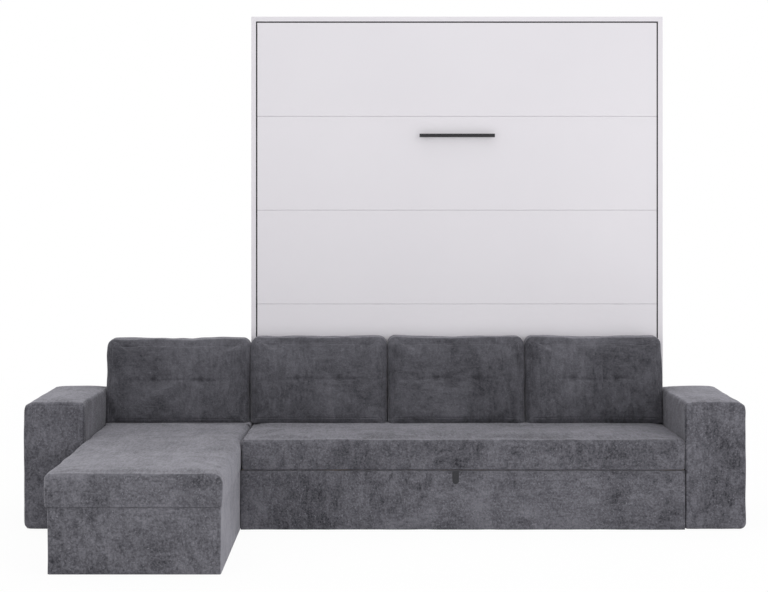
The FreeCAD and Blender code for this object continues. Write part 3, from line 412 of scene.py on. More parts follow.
@dataclass(frozen=True)
class CrushedPlush(Finish):
    """Dark grey crushed plush with a soft sheen.

    Args:
        dark: Linear colour where the nap leans away.
        light: Linear colour where it leans towards the eye.
        cloud: Weight of the widest unevenness.
        patch: Weight of the patches.
        stroke: Weight of the strokes.
        tuft: Weight of the single tufts.
        speck: Weight of the bright specks.
        side: Painted light on the sides where above 0, painted shade where below 0.
        top: Painted light on top where above 0, painted shade where below 0.
        sheen: Soft sheen of the pile's tips.
    """

    dark: Colour = (0.022, 0.0217, 0.027)
    light: Colour = (0.182, 0.179, 0.204)
    cloud: float = 0.34
    patch: float = 0.22
    stroke: float = 0.22
    tuft: float = 0.44
    speck: float = 0.55
    side: float = 0.0
    top: float = 0.0
    sheen: float = 0.32
    roughness: float = 0.98
    rough_step: float = -0.16
    specular: float = 0.25
    relief: float = 0.7
    height: float = 0.0022

    def pattern(self, sketch: NodeSketch, place: Socket) -> Pattern:
        """Crushed nap."""
        nap = sketch.group(SharedGroups.crushed_nap(), place, Cloud=self.cloud, Patch=self.patch,
                           Stroke=self.stroke, Tuft=self.tuft, Speck=self.speck, Side=self.side,
                           Top=self.top)
        return sketch.mix(nap["Shade"], self.dark, self.light), nap["Shade"], nap["Pile"]

    def extras(self) -> dict:
        """The sheen."""
        return {"Sheen Weight": self.sheen, "Sheen Roughness": 0.42,
                "Sheen Tint": (0.86, 0.85, 0.93, 1)}


@dataclass(frozen=True)
class CoatedMetal(Finish):
    """Powder coated or painted metal, or moulded plastic, with a fine grain.

    Args:
        colour: Linear colour.
        worn: Linear colour of the faint clouds.
        grain: Grains per metre.
        clouds: Clouds per metre.
    """

    colour: Colour = (0.03, 0.03, 0.034)
    worn: Colour = (0.042, 0.042, 0.047)
    grain: float = 900.0
    clouds: float = 9.0
    rough_step: float = 0.14

    def pattern(self, sketch: NodeSketch, place: Socket) -> Pattern:
        """Fine grain and faint clouds."""
        grain = sketch.group(SharedGroups.fine_grain(), place, Scale=self.grain,
                             Cloud_Scale=self.clouds)
        return sketch.mix(grain["Cloud"], self.colour, self.worn), grain["Grain"], grain["Grain"]


@dataclass(frozen=True)
class Laminate(CoatedMetal):
    """Satin laminated board, with the same grain, finer and fainter."""

    colour: Colour = (0.702, 0.681, 0.718)
    worn: Colour = (0.718, 0.697, 0.733)
    grain: float = 1400.0
    clouds: float = 2.2
    roughness: float = 0.42
    rough_step: float = 0.1
    specular: float = 0.4
    relief: float = 0.12
    height: float = 0.0002


@dataclass(frozen=True)
class BrushedZinc(Finish):
    """Zinc plated steel with long fine brush lines.

    Args:
        bright: Linear colour of the lines.
        dull: Linear colour between them.
        stretch: Factors along X, Y and Z, small where the lines run.
        lines: Lines per metre.
        warp: How far the lines wander.
    """

    bright: Colour = (0.62, 0.62, 0.64)
    dull: Colour = (0.44, 0.44, 0.46)
    stretch: Triple = (1.0, 6.0, 0.6)
    lines: float = 90.0
    warp: float = 0.1
    roughness: float = 0.3
    rough_step: float = 0.16
    metallic: float = 0.9
    relief: float = 0.15
    height: float = 0.0002

    def pattern(self, sketch: NodeSketch, place: Socket) -> Pattern:
        """Long lines."""
        long_way = sketch.stretched(place, self.stretch)
        lines = sketch.group(SharedGroups.streaks(), long_way, Scale=self.lines, Warp=self.warp)
        return sketch.mix(lines["Line"], self.dull, self.bright), lines["Pore"], lines["Pore"]


@dataclass(frozen=True)
class PlainWood(BrushedZinc):
    """Birch plywood and beech, whose long grain takes the place of the brush lines."""

    bright: Colour = (0.56, 0.42, 0.27)
    dull: Colour = (0.4, 0.27, 0.15)
    stretch: Triple = (0.12, 1.0, 1.0)
    lines: float = 26.0
    warp: float = 1.4
    roughness: float = 0.5
    rough_step: float = 0.15
    metallic: float = 0.0
    relief: float = 0.3
    height: float = 0.0003


@dataclass(frozen=True)
class WovenCloth(Finish):
    """Woven cloth or webbing.

    Args:
        dark: Linear colour between the threads.
        light: Linear colour on them.
        threads: Turns of thread per metre.
        sheen: Soft sheen.
    """

    dark: Colour = (0.6, 0.6, 0.58)
    light: Colour = (0.8, 0.8, 0.78)
    threads: float = 1400.0
    sheen: float = 0.2
    roughness: float = 0.85
    relief: float = 0.5
    height: float = 0.0005

    def pattern(self, sketch: NodeSketch, place: Socket) -> Pattern:
        """Threads with slubs."""
        weave = sketch.group(SharedGroups.weave(), place, Threads=self.threads)
        both = sketch.plus(sketch.math("MULTIPLY", weave["Thread"], 0.65), weave["Slub"], 0.35)
        return sketch.mix(both, self.dark, self.light), both, both

    def extras(self) -> dict:
        """The sheen."""
        return {"Sheen Weight": self.sheen}


class Palette:
    """The finishes of the object, one for each material slot, each built once."""

    finishes: dict[Slot, Finish] = {
        Slot.WHITE_BOARD: Laminate("white_laminate"),
        Slot.INNER_BOARD: Laminate("inner_laminate", roughness=0.5),
        Slot.STEEL: BrushedZinc("zinc_steel"),
        Slot.BLACK_METAL: CoatedMetal("black_coat", colour=(0.013, 0.0125, 0.0155),
                                      worn=(0.019, 0.0185, 0.022), roughness=0.42,
                                      specular=0.3),
        Slot.GREY_METAL: CoatedMetal("grey_coat", colour=(0.17, 0.175, 0.185),
                                     worn=(0.2, 0.205, 0.215), grain=700.0),
        Slot.PLASTIC: CoatedMetal("moulded_plastic", colour=(0.025, 0.025, 0.028), roughness=0.55,
                                  grain=1500.0),
        Slot.WOOD: PlainWood("plain_wood"),
        # The seat's plush: a little painted shade on its upward faces.
        Slot.UPHOLSTERY: CrushedPlush(Cloth.STRETCHED.value, top=-0.035),
        Slot.MATTRESS: WovenCloth("mattress_ticking"),
        Slot.WEBBING: WovenCloth("black_webbing", dark=(0.012, 0.012, 0.015),
                                 light=(0.04, 0.04, 0.046), threads=1900.0, sheen=0.1),
    }
    cloths: dict[Cloth, Finish] = {
        Cloth.STRETCHED: finishes[Slot.UPHOLSTERY],
        # Arm copy: painted shade on its sides and painted light on top. Chaise copy: a lighter colour
        # with painted light on its sides and top.
        Cloth.ARM: CrushedPlush(Cloth.ARM.value, light=(0.177, 0.174, 0.199), side=-0.34,
                                top=0.13),
        Cloth.CHAISE: CrushedPlush(Cloth.CHAISE.value, light=(0.19, 0.187, 0.212), side=0.34,
                                   top=0.14),
        # Cushion copy: darker and flatter, painted shade for the back cushions.
        Cloth.CUSHION: CrushedPlush(Cloth.CUSHION.value, dark=(0.02, 0.0198, 0.0245),
                                    light=(0.142, 0.14, 0.161), cloud=0.3, patch=0.2, stroke=0.2,
                                    tuft=0.24, speck=0.3),
        # Near-black seal pile, painted shade in the reveal round the folding front.
        Cloth.SEAL: WovenCloth(Cloth.SEAL.value, dark=(0.003, 0.003, 0.004),
                               light=(0.011, 0.011, 0.013), threads=2400.0, sheen=0.0,
                               specular=0.1),
    }

    def __init__(self) -> None:
        """Start with nothing built."""
        self.built: dict[str, bpy.types.Material] = {}

    def material(self, kind: Slot | Cloth) -> bpy.types.Material:
        """Give the material of a slot or of a cloth.

        Args:
            kind: The material slot, or the cloth.

        Returns:
            Its material.
        """
        finish = self.cloths[kind] if isinstance(kind, Cloth) else self.finishes[kind]
        if finish.name not in self.built:
            self.built[finish.name] = finish.build()
        return self.built[finish.name]


# Mesh forms


# Shares of a rounded edge's turn that get a loop; room of a seam and its loops; least step
# between loops; how near a held face a point is held.
ARC_SHARES = (1.0, 0.8, 0.6, 0.4, 0.2, 0.0)
SEAM_HALF = 0.004
SEAM_CLEAR = SEAM_HALF * 1.6
LEAST_STEP = 0.0004
HELD_REACH = 0.0015


def grid_line(low: float, high: float, edges: Pair, spacing: float,
              seams: Iterable[float] = ()) -> Array:
    """Places of a block's loops along one axis, closer together where the edges are rounded.

    Args:
        low: Lowest place.
        high: Highest place.
        edges: Radius at the low and at the high end.
        spacing: Widest step between.
        seams: Further places that get a loop and one beside it each way.

    Returns:
        The sorted places.
    """
    start, end = edges
    places = [low + start * (1 - math.tan(math.pi / 4 * s)) for s in ARC_SHARES]
    places += [high - end * (1 - math.tan(math.pi / 4 * s)) for s in ARC_SHARES]
    inner_low, inner_high = low + start, high - end
    count = max(2, math.ceil((inner_high - inner_low) / spacing))
    places += list(np.linspace(inner_low, inner_high, count + 1)[1:-1])
    for seam in seams:
        places = [p for p in places if abs(p - seam) > SEAM_CLEAR or p in (low, high)]
        places += [seam - SEAM_HALF, seam, seam + SEAM_HALF]
    places = sorted(places)
    kept = [places[0]]
    for place in places[1:]:
        if place - kept[-1] > LEAST_STEP:
            kept.append(place)
    kept[-1] = high
    return np.array(kept)


@dataclass(frozen=True)
class Ring:
    """A seam that runs round one face of a block, parallel to its outline.

    Args:
        axis: Axis that the face looks along.
        end: 0 for the face at the low end, 1 for the high end.
        inset: How far inside the outline the seam runs.
        depth: How deep the stitches pull it in.
        foot: How much higher it runs along the foot.
    """

    axis: int
    end: int
    inset: float
    depth: float = 0.0015
    foot: float = 0.0

    def span(self, low: Sequence[float], high: Sequence[float], axis: int) -> Pair:
        """Where the seam runs along one axis.

        Args:
            low: Lowest corner of the block.
            high: Highest corner of the block.
            axis: The axis.

        Returns:
            Its lowest and highest place.
        """
        lift = self.foot if axis == 2 else 0.0
        return low[axis] + self.inset + lift, high[axis] - self.inset

    def on_seam(self, points: Array, low: Sequence[float], high: Sequence[float]) -> Array:
        """Mark the lattice points that the seam runs through.

        Args:
            points: The lattice points, before the rounding.
            low: Lowest corner of the block.
            high: Highest corner of the block.

        Returns:
            1 for each point on the seam, else 0.
        """
        face = np.isclose(points[:, self.axis], (low, high)[self.end][self.axis])
        inside = np.ones(len(points), bool)
        border = np.zeros(len(points), bool)
        for other in range(3):
            if other != self.axis:
                first, last = self.span(low, high, other)
                place = points[:, other]
                inside &= (place > first - 1e-6) & (place < last + 1e-6)
                border |= np.isclose(place, first) | np.isclose(place, last)
        return (face & inside & border).astype(float)


def surface_grid(lines: Sequence[Array]) -> tuple[Array, list[Face]]:
    """Points and quads of a box's surface, divided at the given places.

    Args:
        lines: Places of the loops along X, Y and Z.

    Returns:
        The points and the faces, facing outwards.
    """
    counts = [len(line) for line in lines]
    numbers: dict[tuple[int, int, int], int] = {}
    points: list[Triple] = []
    faces: list[Face] = []

    def number(index: tuple[int, int, int]) -> int:
        """Number of the point at a lattice index."""
        if index not in numbers:
            numbers[index] = len(points)
            points.append(tuple(lines[a][index[a]] for a in range(3)))
        return numbers[index]

    for axis in range(3):
        first, second = (axis + 1) % 3, (axis + 2) % 3
        for end in (0, counts[axis] - 1):
            for i in range(counts[first] - 1):
                for j in range(counts[second] - 1):
                    quad = []
                    for a, b in ((i, j), (i + 1, j), (i + 1, j + 1), (i, j + 1)):
                        index = [0, 0, 0]
                        index[axis], index[first], index[second] = end, a, b
                        quad.append(number(tuple(index)))
                    faces.append(tuple(quad if end else reversed(quad)))
    return np.array(points), faces


def ring_quads(pairs: Iterable[tuple[int, int]], count: int) -> list[Face]:
    """Quads that join rings of points, where each ring's points follow the last ring's.

    Args:
        pairs: Numbers of the rings to join, two by two.
        count: Points in each ring.

    Returns:
        The quads.
    """
    return [(a * count + k, a * count + (k + 1) % count, b * count + (k + 1) % count, b * count + k)
            for a, b in pairs for k in range(count)]


def in_order(rings: int) -> list[tuple[int, int]]:
    """Pairs of rings that follow each other."""
    return list(zip(range(rings), range(1, rings)))


def along_path(path: Sequence[Vector]) -> list[tuple[Vector, Vector]]:
    """Points of a path, each with the direction in which the path runs there."""
    last = len(path) - 1
    return [(place, (path[min(k + 1, last)] - path[max(k - 1, 0)]).normalized())
            for k, place in enumerate(path)]


@dataclass
class Block:
    """A block drawn along one axis from a rounded outline, with rounded ends.

    Args:
        low: Lowest corner.
        high: Highest corner.
        axis: Direction in which the outline is drawn out.
        radii: Corner radii of the outline: low-low, high-low, high-high, low-high.
        ends: Radius of the rounding at the low and at the high end.
        spacing: Widest step between loops.
        rings: Seams round its faces.
    """

    low: Sequence[float]
    high: Sequence[float]
    axis: Axis
    radii: Four
    ends: Pair
    spacing: float = 0.016
    rings: Sequence[Ring] = ()

    def plane(self) -> tuple[int, int]:
        """The two axes of the outline, in order."""
        return tuple(a for a in range(3) if a != self.axis.value)

    def depth(self, points: Array) -> tuple[Array, Array]:
        """How deep points lie inside the outline, and which way is out.

        Args:
            points: Points, one in each row.

        Returns:
            The depth of each, and its outward direction in the outline's plane.
        """
        u, w = self.plane()
        middle = [(self.low[a] + self.high[a]) / 2 for a in (u, w)]
        half = [(self.high[a] - self.low[a]) / 2 for a in (u, w)]
        du, dw = points[:, u] - middle[0], points[:, w] - middle[1]
        radius = np.select([(du < 0) & (dw < 0), (du >= 0) & (dw < 0), (du >= 0) & (dw >= 0)],
                           self.radii[:3], self.radii[3])
        qu, qw = np.abs(du) - half[0] + radius, np.abs(dw) - half[1] + radius
        corner = np.hypot(np.maximum(qu, 0), np.maximum(qw, 0))
        distance = np.minimum(np.maximum(qu, qw), 0) + corner - radius
        in_corner = (qu > 0) & (qw > 0)
        flat_u = np.where(qu > qw, 1.0, 0.0)
        safe = np.maximum(corner, 1e-9)
        nu = np.where(in_corner, qu / safe, flat_u) * np.sign(du)
        nw = np.where(in_corner, qw / safe, 1 - flat_u) * np.sign(dw)
        return -distance, np.stack([nu, nw], 1)

    def round_outline(self, points: Array) -> Array:
        """Move the outline's square corners onto their arcs.

        Args:
            points: Points of the square lattice.

        Returns:
            The points with a rounded outline.
        """
        u, w = self.plane()
        out = points.copy()
        corners = ((0, 0), (1, 0), (1, 1), (0, 1))
        for (at_u, at_w), radius in zip(corners, self.radii):
            sign_u, sign_w = 2 * at_u - 1, 2 * at_w - 1
            centre_u = (self.low, self.high)[at_u][u] - sign_u * radius
            centre_w = (self.low, self.high)[at_w][w] - sign_w * radius
            vu, vw = (points[:, u] - centre_u) * sign_u, (points[:, w] - centre_w) * sign_w
            inside = (vu > 0) & (vw > 0)
            share = np.maximum(vu, vw) / np.maximum(np.hypot(vu, vw), 1e-9)
            out[:, u] = np.where(inside, centre_u + sign_u * vu * share, out[:, u])
            out[:, w] = np.where(inside, centre_w + sign_w * vw * share, out[:, w])
        return out

    def round_ends(self, points: Array) -> Array:
        """Round the edges between the outline's wall and its two ends.

        Args:
            points: Points with a rounded outline.

        Returns:
            The points with rounded ends.
        """
        u, w = self.plane()
        a = self.axis.value
        out = points.copy()
        depth, outward = self.depth(points)
        for place, sign, radius in ((self.low[a], 1, self.ends[0]), (self.high[a], -1, self.ends[1])):
            if radius <= 0:
                continue
            along = (points[:, a] - place) * sign
            p, q = radius - depth, radius - along
            inside = (p > 0) & (q > 0)
            share = np.maximum(p, q) / np.maximum(np.hypot(p, q), 1e-9)
            inward = np.where(inside, p * (1 - share), 0)
            out[:, u] -= outward[:, 0] * inward
            out[:, w] -= outward[:, 1] * inward
            out[:, a] += np.where(inside, q * (1 - share), 0) * sign
        return out

    def mesh(self, name: str) -> Object:
        """Build the block as an object, with the depth of its seams as a point attribute.

        Args:
            name: Name of the object.

        Returns:
            The object, linked to the scene.
        """
        u, w = self.plane()
        edges = {u: (max(self.radii[0], self.radii[3]), max(self.radii[1], self.radii[2])),
                 w: (max(self.radii[0], self.radii[1]), max(self.radii[2], self.radii[3])),
                 self.axis.value: self.ends}
        lines = []
        for k in range(3):
            seams = [place for ring in self.rings if ring.axis != k
                     for place in ring.span(self.low, self.high, k)]
            lines.append(grid_line(self.low[k], self.high[k], edges[k], self.spacing, seams))
        lattice, faces = surface_grid(lines)
        piece = make_object(name, self.round_ends(self.round_outline(lattice)), faces)
        depth = np.zeros(len(lattice))
        for ring in self.rings:
            depth = np.maximum(depth, ring.on_seam(lattice, self.low, self.high) * ring.depth)
        piece.data.attributes.new("seam", "FLOAT", "POINT").data.foreach_set("value", depth)
        return piece


def make_object(name: str, points: Iterable, faces: Iterable[Face]) -> Object:
    """Make a smooth shaded mesh object.

    Args:
        name: Name of the object.
        points: Its points, as vectors or as rows of an array.
        faces: Its faces, as point numbers.

    Returns:
        The object, linked to the scene.
    """
    mesh = bpy.data.meshes.new(name)
    mesh.from_pydata([tuple(point) for point in points], [], list(faces))
    mesh.update()
    mesh.shade_smooth()
    piece = bpy.data.objects.new(name, mesh)
    bpy.context.scene.collection.objects.link(piece)
    return piece


def get_points(piece: Object) -> Array:
    """Points of a mesh object as an array."""
    points = np.zeros(len(piece.data.vertices) * 3)
    piece.data.vertices.foreach_get("co", points)
    return points.reshape(-1, 3)


def set_points(piece: Object, points: Array) -> None:
    """Put an array back as a mesh object's points."""
    piece.data.vertices.foreach_set("co", points.astype(np.float32).ravel())
    piece.data.update()


def bake_modifiers(piece: Object) -> None:
    """Apply every modifier of a mesh object.

    Args:
        piece: The object.
    """
    graph = bpy.context.evaluated_depsgraph_get()
    done = bpy.data.meshes.new_from_object(piece.evaluated_get(graph))
    piece.modifiers.clear()
    piece.data = done
    piece.data.shade_smooth()


def subdivide(piece: Object, levels: int = 1) -> None:
    """Divide every face and smooth the result.

    Args:
        piece: The object.
        levels: How many times each face is divided.
    """
    modifier = piece.modifiers.new("subdivision", "SUBSURF")
    modifier.levels = levels
    modifier.render_levels = levels
    bake_modifiers(piece)


def fix_normals(piece: Object) -> None:
    """Turn every face of a closed mesh outwards.

    Args:
        piece: The object.
    """
    work = bmesh.new()
    work.from_mesh(piece.data)
    bmesh.ops.recalc_face_normals(work, faces=work.faces)
    work.to_mesh(piece.data)
    work.free()
    piece.data.shade_smooth()


def normals_of(piece: Object) -> Array:
    """Outward direction at each point of a mesh object."""
    normals = np.zeros(len(piece.data.vertices) * 3)
    piece.data.vertices.foreach_get("normal", normals)
    return normals.reshape(-1, 3)


def read_attribute(piece: Object, name: str) -> Array:
    """Values of a point attribute of a mesh object."""
    values = np.zeros(len(piece.data.vertices))
    piece.data.attributes[name].data.foreach_get("value", values)
    return values


def smoothstep(value: Array, low: float, high: float) -> Array:
    """Rise smoothly from 0 at low to 1 at high."""
    t = np.clip((value - low) / (high - low), 0, 1)
    return t * t * (3 - 2 * t)


def bell(value: Array, width: float) -> Array:
    """Fall smoothly from 1 at zero to almost 0 at twice the width."""
    return np.exp(-(value / width) ** 2)


def undulation(points: Array, wavelength: float, seed: int, waves: int = 9) -> Array:
    """Smooth even unevenness over a surface, between about -1 and 1.

    Args:
        points: Where it is wanted.
        wavelength: Distance between crests, in metres.
        seed: Number that picks the pattern.
        waves: How many waves are summed.

    Returns:
        One value for each point.
    """
    rng = np.random.default_rng(seed)
    total = np.zeros(len(points))
    for _ in range(waves):
        direction = rng.normal(size=3)
        direction *= 2 * math.pi / wavelength * rng.uniform(0.6, 1.5) / np.linalg.norm(direction)
        total += np.sin(points @ direction + rng.uniform(0, 2 * math.pi))
    return total / math.sqrt(waves) * 0.8


@dataclass
class Padding:
    """Turns a plain block into a stuffed piece by a short cloth simulation.

    Args:
        cap: How far a point may move, in metres.
        sink: How far a point may move inwards.
        pressure: Air pressure that stands for the filling.
        frames: Length of the simulation.
        stiffness: Tension of the cloth.
        bending: Bending stiffness of the cloth.
    """

    cap: float = 0.012
    sink: float = 0.0012
    pressure: float = 4.0
    frames: int = 20
    stiffness: float = 14.0
    bending: float = 0.6

    def inflate(self, piece: Object, grip: Array) -> None:
        """Simulate the piece in place.

        Args:
            piece: The block, in its starting shape.
            grip: Hold of each point, from 0, free, to 1, fixed.
        """
        start, outward = get_points(piece), normals_of(piece)
        moved = self.simulate(piece, grip) - start
        reach = np.linalg.norm(moved, axis=1, keepdims=True)
        moved *= self.cap * np.tanh(reach / self.cap) / np.maximum(reach, 1e-9)
        moved *= 1 - grip[:, None]
        along = (moved * outward).sum(axis=1)
        moved += outward * (np.maximum(along, -self.sink) - along)[:, None]
        set_points(piece, start + moved)

    def simulate(self, piece: Object, grip: Array) -> Array:
        """Run the cloth simulation.

        Args:
            piece: The block, in its starting shape.
            grip: Hold of each point, from 0, free, to 1, fixed.

        Returns:
            Where its points end.
        """
        start = get_points(piece)
        group = piece.vertex_groups.new(name="grip")
        for level in np.unique(np.round(grip, 2)):
            if level > 0:
                members = np.nonzero(np.round(grip, 2) == level)[0]
                group.add([int(m) for m in members], float(level), "REPLACE")
        cloth = piece.modifiers.new("cloth", "CLOTH")
        settings = cloth.settings
        settings.quality = 4
        settings.mass = 0.3
        settings.tension_stiffness = self.stiffness
        settings.compression_stiffness = self.stiffness
        settings.shear_stiffness = self.stiffness / 2
        settings.bending_stiffness = self.bending
        settings.use_pressure = True
        settings.uniform_pressure_force = self.pressure
        settings.effector_weights.gravity = 0
        settings.vertex_group_mass = "grip"
        cloth.collision_settings.use_collision = False
        cloth.collision_settings.use_self_collision = False
        cloth.point_cache.frame_start = 1
        cloth.point_cache.frame_end = self.frames
        scene = bpy.context.scene
        for frame in range(1, self.frames + 1):
            scene.frame_set(frame)
        bake_modifiers(piece)
        scene.frame_set(1)
        piece.vertex_groups.clear()
        ended = get_points(piece)
        set_points(piece, start)
        return ended


def rounded_path(corners: Sequence[Vector], radius: float, steps: int = 6,
                 stride: float = 0.03) -> list[Vector]:
    """Points along straight runs whose corners are rounded.

    Args:
        corners: The corners, ends included.
        radius: Radius of the rounding.
        steps: Points in each arc.
        stride: Longest step on a run.

    Returns:
        The points.
    """
    places = [corners[0]]
    for before, corner, after in zip(corners, corners[1:], corners[2:]):
        to_before, to_after = (before - corner).normalized(), (after - corner).normalized()
        half = to_before.angle(to_after) / 2
        reach = radius / math.tan(half)
        start, end = corner + to_before * reach, corner + to_after * reach
        run = start - places[-1]
        extra = max(1, int(run.length / stride))
        last = places[-1]
        places += [last + run * (k / extra) for k in range(1, extra)]
        for k in range(steps + 1):
            t = k / steps
            places.append(start.lerp(corner, t).lerp(corner.lerp(end, t), t))
    run = corners[-1] - places[-1]
    extra = max(1, int(run.length / stride))
    last = places[-1]
    places += [last + run * (k / extra) for k in range(1, extra + 1)]
    return places


def ribbon(name: str, path: Sequence[Vector], across: Vector, width: float,
           thickness: float) -> Object:
    """A flat band that follows a path, with rounded long edges.

    Args:
        name: Name of the object.
        path: Points of its middle line.
        across: Direction of its width.
        width: Width in metres.
        thickness: Thickness in metres.

    Returns:
        The object.
    """
    half, flat = width / 2, thickness / 2
    upper = [(-half, 0), (-half + flat * 0.5, flat), (-half + flat * 2, flat), (0, flat),
             (half - flat * 2, flat), (half - flat * 0.5, flat)]
    section = upper + [(-a, -b) for a, b in upper]
    points = [place + across * a + across.cross(along).normalized() * b
              for place, along in along_path(path) for a, b in section]
    count = len(section)
    faces = ring_quads(in_order(len(path)), count)
    faces += [tuple(reversed(range(count))), tuple(range(len(points) - count, len(points)))]
    return make_object(name, points, faces)


def straight_band(name: str, first: Vector, last: Vector, across: Vector, width: float,
                  thickness: float, steps: int = 24) -> Object:
    """A straight flat band.

    Args:
        name: Name of the object.
        first: Middle of its start.
        last: Middle of its end.
        across: Direction of its width.
        width: Width in metres.
        thickness: Thickness in metres.
        steps: Number of its lengths.

    Returns:
        The object.
    """
    path = [first.lerp(last, k / steps) for k in range(steps + 1)]
    return ribbon(name, path, across, width, thickness)


def tube(name: str, path: Sequence[Vector], radius: float, sides: int = 8) -> Object:
    """A closed loop of round piping.

    Args:
        name: Name of the object.
        path: Points of its middle line, the last where the first is, all at one place along Y.
        radius: Radius of the piping.
        sides: Points round it.

    Returns:
        The object.
    """
    loop = path[:-1]
    upright = Vector((0, 1, 0))
    points = []
    for index, place in enumerate(loop):
        along = (loop[(index + 1) % len(loop)] - loop[index - 1]).normalized()
        side = upright.cross(along).normalized()
        for k in range(sides):
            angle = 2 * math.pi * k / sides
            points.append(place + side * (radius * math.cos(angle)) +
                          upright * (radius * math.sin(angle)))
    pairs = [(index, (index + 1) % len(loop)) for index in range(len(loop))]
    piece = make_object(name, points, ring_quads(pairs, sides))
    fix_normals(piece)
    return piece


# Sub-assemblies


@dataclass
class Dresser:
    """Gives pieces their finish and body.

    Args:
        palette: The finishes.
    """

    palette: Palette

    def dress(self, piece: Object, slot: Slot, body: str, stands_for: Sequence[str] = (),
              fill: float | None = None, cloth: Cloth | None = None) -> Object:
        """Finish one piece.

        Args:
            piece: The piece, in place.
            slot: Its material slot.
            body: The body that it rides on.
            stands_for: CAD nodes that it replaces.
            fill: How full it is, for a padded piece; not used.
            cloth: Its cloth, where it isn't the slot's own.

        Returns:
            The piece.
        """
        piece.data.materials.clear()
        piece.data.materials.append(self.palette.material(cloth or slot))
        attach(piece, body)
        if stands_for:
            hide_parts(*stands_for)
        log.info("%s rides on %s", piece.name, body)
        return piece

    def dress_frame(self, frame: dict) -> None:
        """Give every CAD node the finish of its slot, and fine rounded edges.
        """
        bevels = {Slot.WHITE_BOARD: 0.0006, Slot.INNER_BOARD: 0.0006, Slot.WOOD: 0.0008,
                  Slot.BLACK_METAL: 0.0009, Slot.GREY_METAL: 0.0012, Slot.STEEL: 0.0004,
                  Slot.PLASTIC: 0.0006}
        for row in frame["record"]["subparts"]:
            node = frame["nodes"][row["node"]]
            slot = Slot(row["material_slot"])
            node.data.materials.clear()
            node.data.materials.append(self.palette.material(slot))
            if slot in bevels:
                bevel = node.modifiers.new("fine_edge", "BEVEL")
                bevel.width = bevels[slot]
                bevel.segments = 2
                bevel.limit_method = "ANGLE"
                bevel.angle_limit = math.radians(40)
                bevel.harden_normals = True


@dataclass
class SubAssembly:
    """Pieces that belong together.

    Args:
        dresser: Gives the pieces their finish and body.
    """

    dresser: Dresser

    def build(self) -> None:
        """Build the pieces."""
        raise NotImplementedError


@dataclass(frozen=True)
class Crease:
    """A soft fold in stretched fabric.

    Args:
        start: Where it begins.
        end: Where it ends.
        width: Half its width.
        depth: Its depth in the middle.
    """

    start: Triple
    end: Triple
    width: float = 0.007
    depth: float = 0.0022

    def pull(self, points: Array) -> Array:
        """How far the fold pulls points in; it pushes its banks out a little.

        Args:
            points: The points of the piece.

        Returns:
            The depth at each.
        """
        first, last = np.array(self.start), np.array(self.end)
        way = last - first
        share = np.clip((points - first) @ way / (way @ way), 0, 1)
        away = np.linalg.norm(points - first - share[:, None] * way, axis=1) / self.width
        ends = np.sin(np.pi * np.clip(share * 0.9 + 0.05, 0, 1)) ** 0.5
        return self.depth * ends * (np.exp(-away ** 2) - 0.45 * np.exp(-(away - 1.9) ** 2))


@dataclass
class SoftBlock:
    """An upholstered block, stuffed by simulation.

    Args:
        name: Name of the piece.
        nodes: CAD nodes that it stands for; the first gives its place.
        body: Body that it rides on.
        axis: Direction in which its outline is drawn out.
        radii: Corner radii of the outline: low-low, high-low, high-high, low-high.
        ends: Rounding of the ends.
        inset: Room for the filling on the low and on the high side of each axis.
        padding: How it is stuffed.
        held: Faces that rest on something, as (axis, end) pairs, end 0 low and 1 high.
        spacing: Widest step between loops.
        seed: Number that picks its unevenness.
        uneven: Height of the unevenness.
        waves: Wavelengths of its wide and its fine unevenness, and the share of the fine one.
        fill: How full it is.
        rings: Seams round its faces.
        creases: Soft folds.
        proud: How far it may stand out of its room, on the low and on the high side.
        shape: Changes the block before it is stuffed.
        sewing: Changes it afterwards.
        finish: Its cloth; the arm, chaise and cushion cloths carry painted light and shade.
        detail: How many times its faces are divided.
    """

    name: str
    nodes: list[str]
    body: str
    axis: Axis
    radii: Four
    ends: Pair
    inset: tuple[Sequence[float], Sequence[float]]
    padding: Padding
    held: list[tuple[int, int]]
    spacing: float = 0.016
    seed: int = 1
    uneven: float = 0.0012
    fill: float = 0.9
    rings: Sequence[Ring] = ()
    creases: Sequence[Crease] = ()
    proud: tuple[Sequence[float], Sequence[float]] = ((0, 0, 0), (0, 0, 0))
    shape: Shaper | None = None
    sewing: Sewer | None = None
    finish: Cloth = Cloth.STRETCHED
    detail: int = 1
    waves: Triple = (0.24, 0.085, 0.4)

    def build(self, dresser: Dresser) -> Object:
        """Model, stuff, sew and dress the block.

        Args:
            dresser: Gives it its finish and body.

        Returns:
            The piece.
        """
        low, high = (np.array(corner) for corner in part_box(self.nodes[0]))
        block = Block(low + np.array(self.inset[0]), high - np.array(self.inset[1]), self.axis,
                      self.radii, self.ends, self.spacing, self.rings)
        piece = block.mesh(self.name)
        points = get_points(piece)
        grip = np.zeros(len(points))
        for axis, end in self.held:
            face = (block.low, block.high)[end][axis]
            grip[np.abs(points[:, axis] - face) < HELD_REACH] = 1.0
        if self.shape:
            set_points(piece, self.shape(points))
        self.padding.inflate(piece, grip)
        subdivide(piece, self.detail)
        points, outward = get_points(piece), normals_of(piece)
        wide, fine, share = self.waves
        wave = undulation(points, wide, self.seed) + share * undulation(points, fine, self.seed + 3)
        pull = read_attribute(piece, "seam") - wave * self.uneven
        for crease in self.creases:
            pull += crease.pull(points)
        points = points - outward * pull[:, None]
        if self.sewing:
            points = self.sewing(points, outward)
        below, above = (np.array(reach) for reach in self.proud)
        set_points(piece, np.clip(points, low - below, high + above))
        return dresser.dress(piece, Slot.UPHOLSTERY, self.body, self.nodes, self.fill, self.finish)


